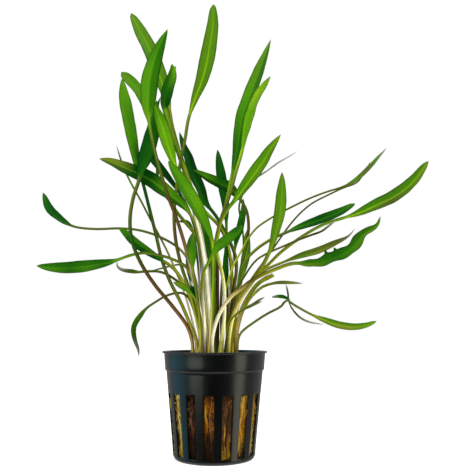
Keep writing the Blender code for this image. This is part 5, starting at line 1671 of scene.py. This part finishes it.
def make_sky(strength):
    """Plain white behind the plant. For reflections the studio is dim at the front, a little teal at the left
    and bright below, as the white floor is."""
    world = bpy.data.worlds.new("studio")
    world.use_nodes = True
    tree = world.node_tree
    tree.nodes.clear()
    place = add_node(tree, "ShaderNodeTexCoord").outputs["Generated"]
    x, y, z = add_node(tree, "ShaderNodeSeparateXYZ", inputs={"Vector": place}).outputs
    sides = []
    for axis, near, far, dim, bright in ((y, -0.6, 0.5, 0.06, 0.8), (x, -0.84, -0.97, 0.0, 2.2),
                                         (z, -0.55, -0.85, 0.0, 1.6)):
        side = add_node(tree, "ShaderNodeMapRange", {"interpolation_type": "SMOOTHSTEP"}, {
            "Value": axis, "From Min": near, "From Max": far, "To Min": dim, "To Max": bright})
        sides.append(side.outputs[0])
    front, left, below = sides
    beside = add_node(tree, "ShaderNodeMath", inputs={0: front, 1: left})
    around = add_node(tree, "ShaderNodeMath", inputs={0: beside.outputs[0], 1: below})
    rays = add_node(tree, "ShaderNodeLightPath").outputs
    dimmed = add_node(tree, "ShaderNodeMath", {"operation": "MULTIPLY"}, {0: around.outputs[0], 1: strength})
    teal = add_node(tree, "ShaderNodeMath", {"operation": "MULTIPLY", "use_clamp": True}, {
        0: left, 1: rays["Is Glossy Ray"]})
    tint = add_node(tree, "ShaderNodeMix", {"data_type": "RGBA"}, {
        "Factor": teal.outputs[0], 6: WHITE, 7: colour("7fd0e6")})
    glossy = add_node(tree, "ShaderNodeMix", {"data_type": "FLOAT"}, {
        "Factor": rays["Is Glossy Ray"], "A": strength, "B": dimmed.outputs[0]})
    seen = add_node(tree, "ShaderNodeMix", {"data_type": "FLOAT"}, {
        "Factor": rays["Is Camera Ray"], "A": glossy.outputs[0], "B": 1.0})
    light = add_node(tree, "ShaderNodeBackground", inputs={
        "Color": tint.outputs[2], "Strength": seen.outputs[0]})
    add_node(tree, "ShaderNodeOutputWorld", inputs={"Surface": light.outputs[0]})
    bpy.context.scene.world = world


def make_camera():
    camera = bpy.data.cameras.new("camera")
    camera.sensor_width = 36.0
    camera.lens = FOCAL_PIXELS / PHOTO_PIXELS * camera.sensor_width
    camera.clip_start = 0.01
    view = bpy.data.objects.new("camera", camera)
    view.location = EYE * MM
    view.rotation_euler = (math.pi / 2 + PITCH, 0, 0)
    bpy.context.scene.collection.objects.link(view)
    bpy.context.scene.camera = view


OPERATORS = (CRYPTO_OT_net_pot, CRYPTO_OT_rock_wool, CRYPTO_OT_roots, CRYPTO_OT_crown, CRYPTO_OT_leaves,
             CRYPTO_OT_stage)
SETTINGS = {"crypto_pot": PotSettings, "crypto_wool": WoolSettings, "crypto_roots": RootSettings,
            "crypto_leaves": LeafSettings, "crypto_stage": StageSettings}


class CRYPTO_PT_panel(bpy.types.Panel):
    """Lists the plant's pieces and their settings"""
    bl_idname = "CRYPTO_PT_panel"
    bl_label = "Potted cryptocoryne"
    bl_space_type = "VIEW_3D"
    bl_region_type = "UI"
    bl_category = "Cryptocoryne"

    def draw(self, context):
        for operator in OPERATORS:
            self.layout.operator(operator.bl_idname)
        for name, kind in SETTINGS.items():
            box = self.layout.box()
            for field in kind.__annotations__:
                box.prop(getattr(context.scene, name), field)


def register():
    for kind in (*SETTINGS.values(), *OPERATORS, CRYPTO_PT_panel):
        bpy.utils.register_class(kind)
    for name, kind in SETTINGS.items():
        setattr(bpy.types.Scene, name, PointerProperty(type=kind))


def unregister():
    for name in SETTINGS:
        delattr(bpy.types.Scene, name)
    for kind in reversed((*SETTINGS.values(), *OPERATORS, CRYPTO_PT_panel)):
        bpy.utils.unregister_class(kind)


def main():
    register()
    bpy.ops.crypto.net_pot()
    bpy.ops.crypto.rock_wool()
    bpy.ops.crypto.roots()
    bpy.ops.crypto.crown()
    bpy.ops.crypto.leaves()
    bpy.ops.crypto.stage()


if __name__ == "__main__":
    main()
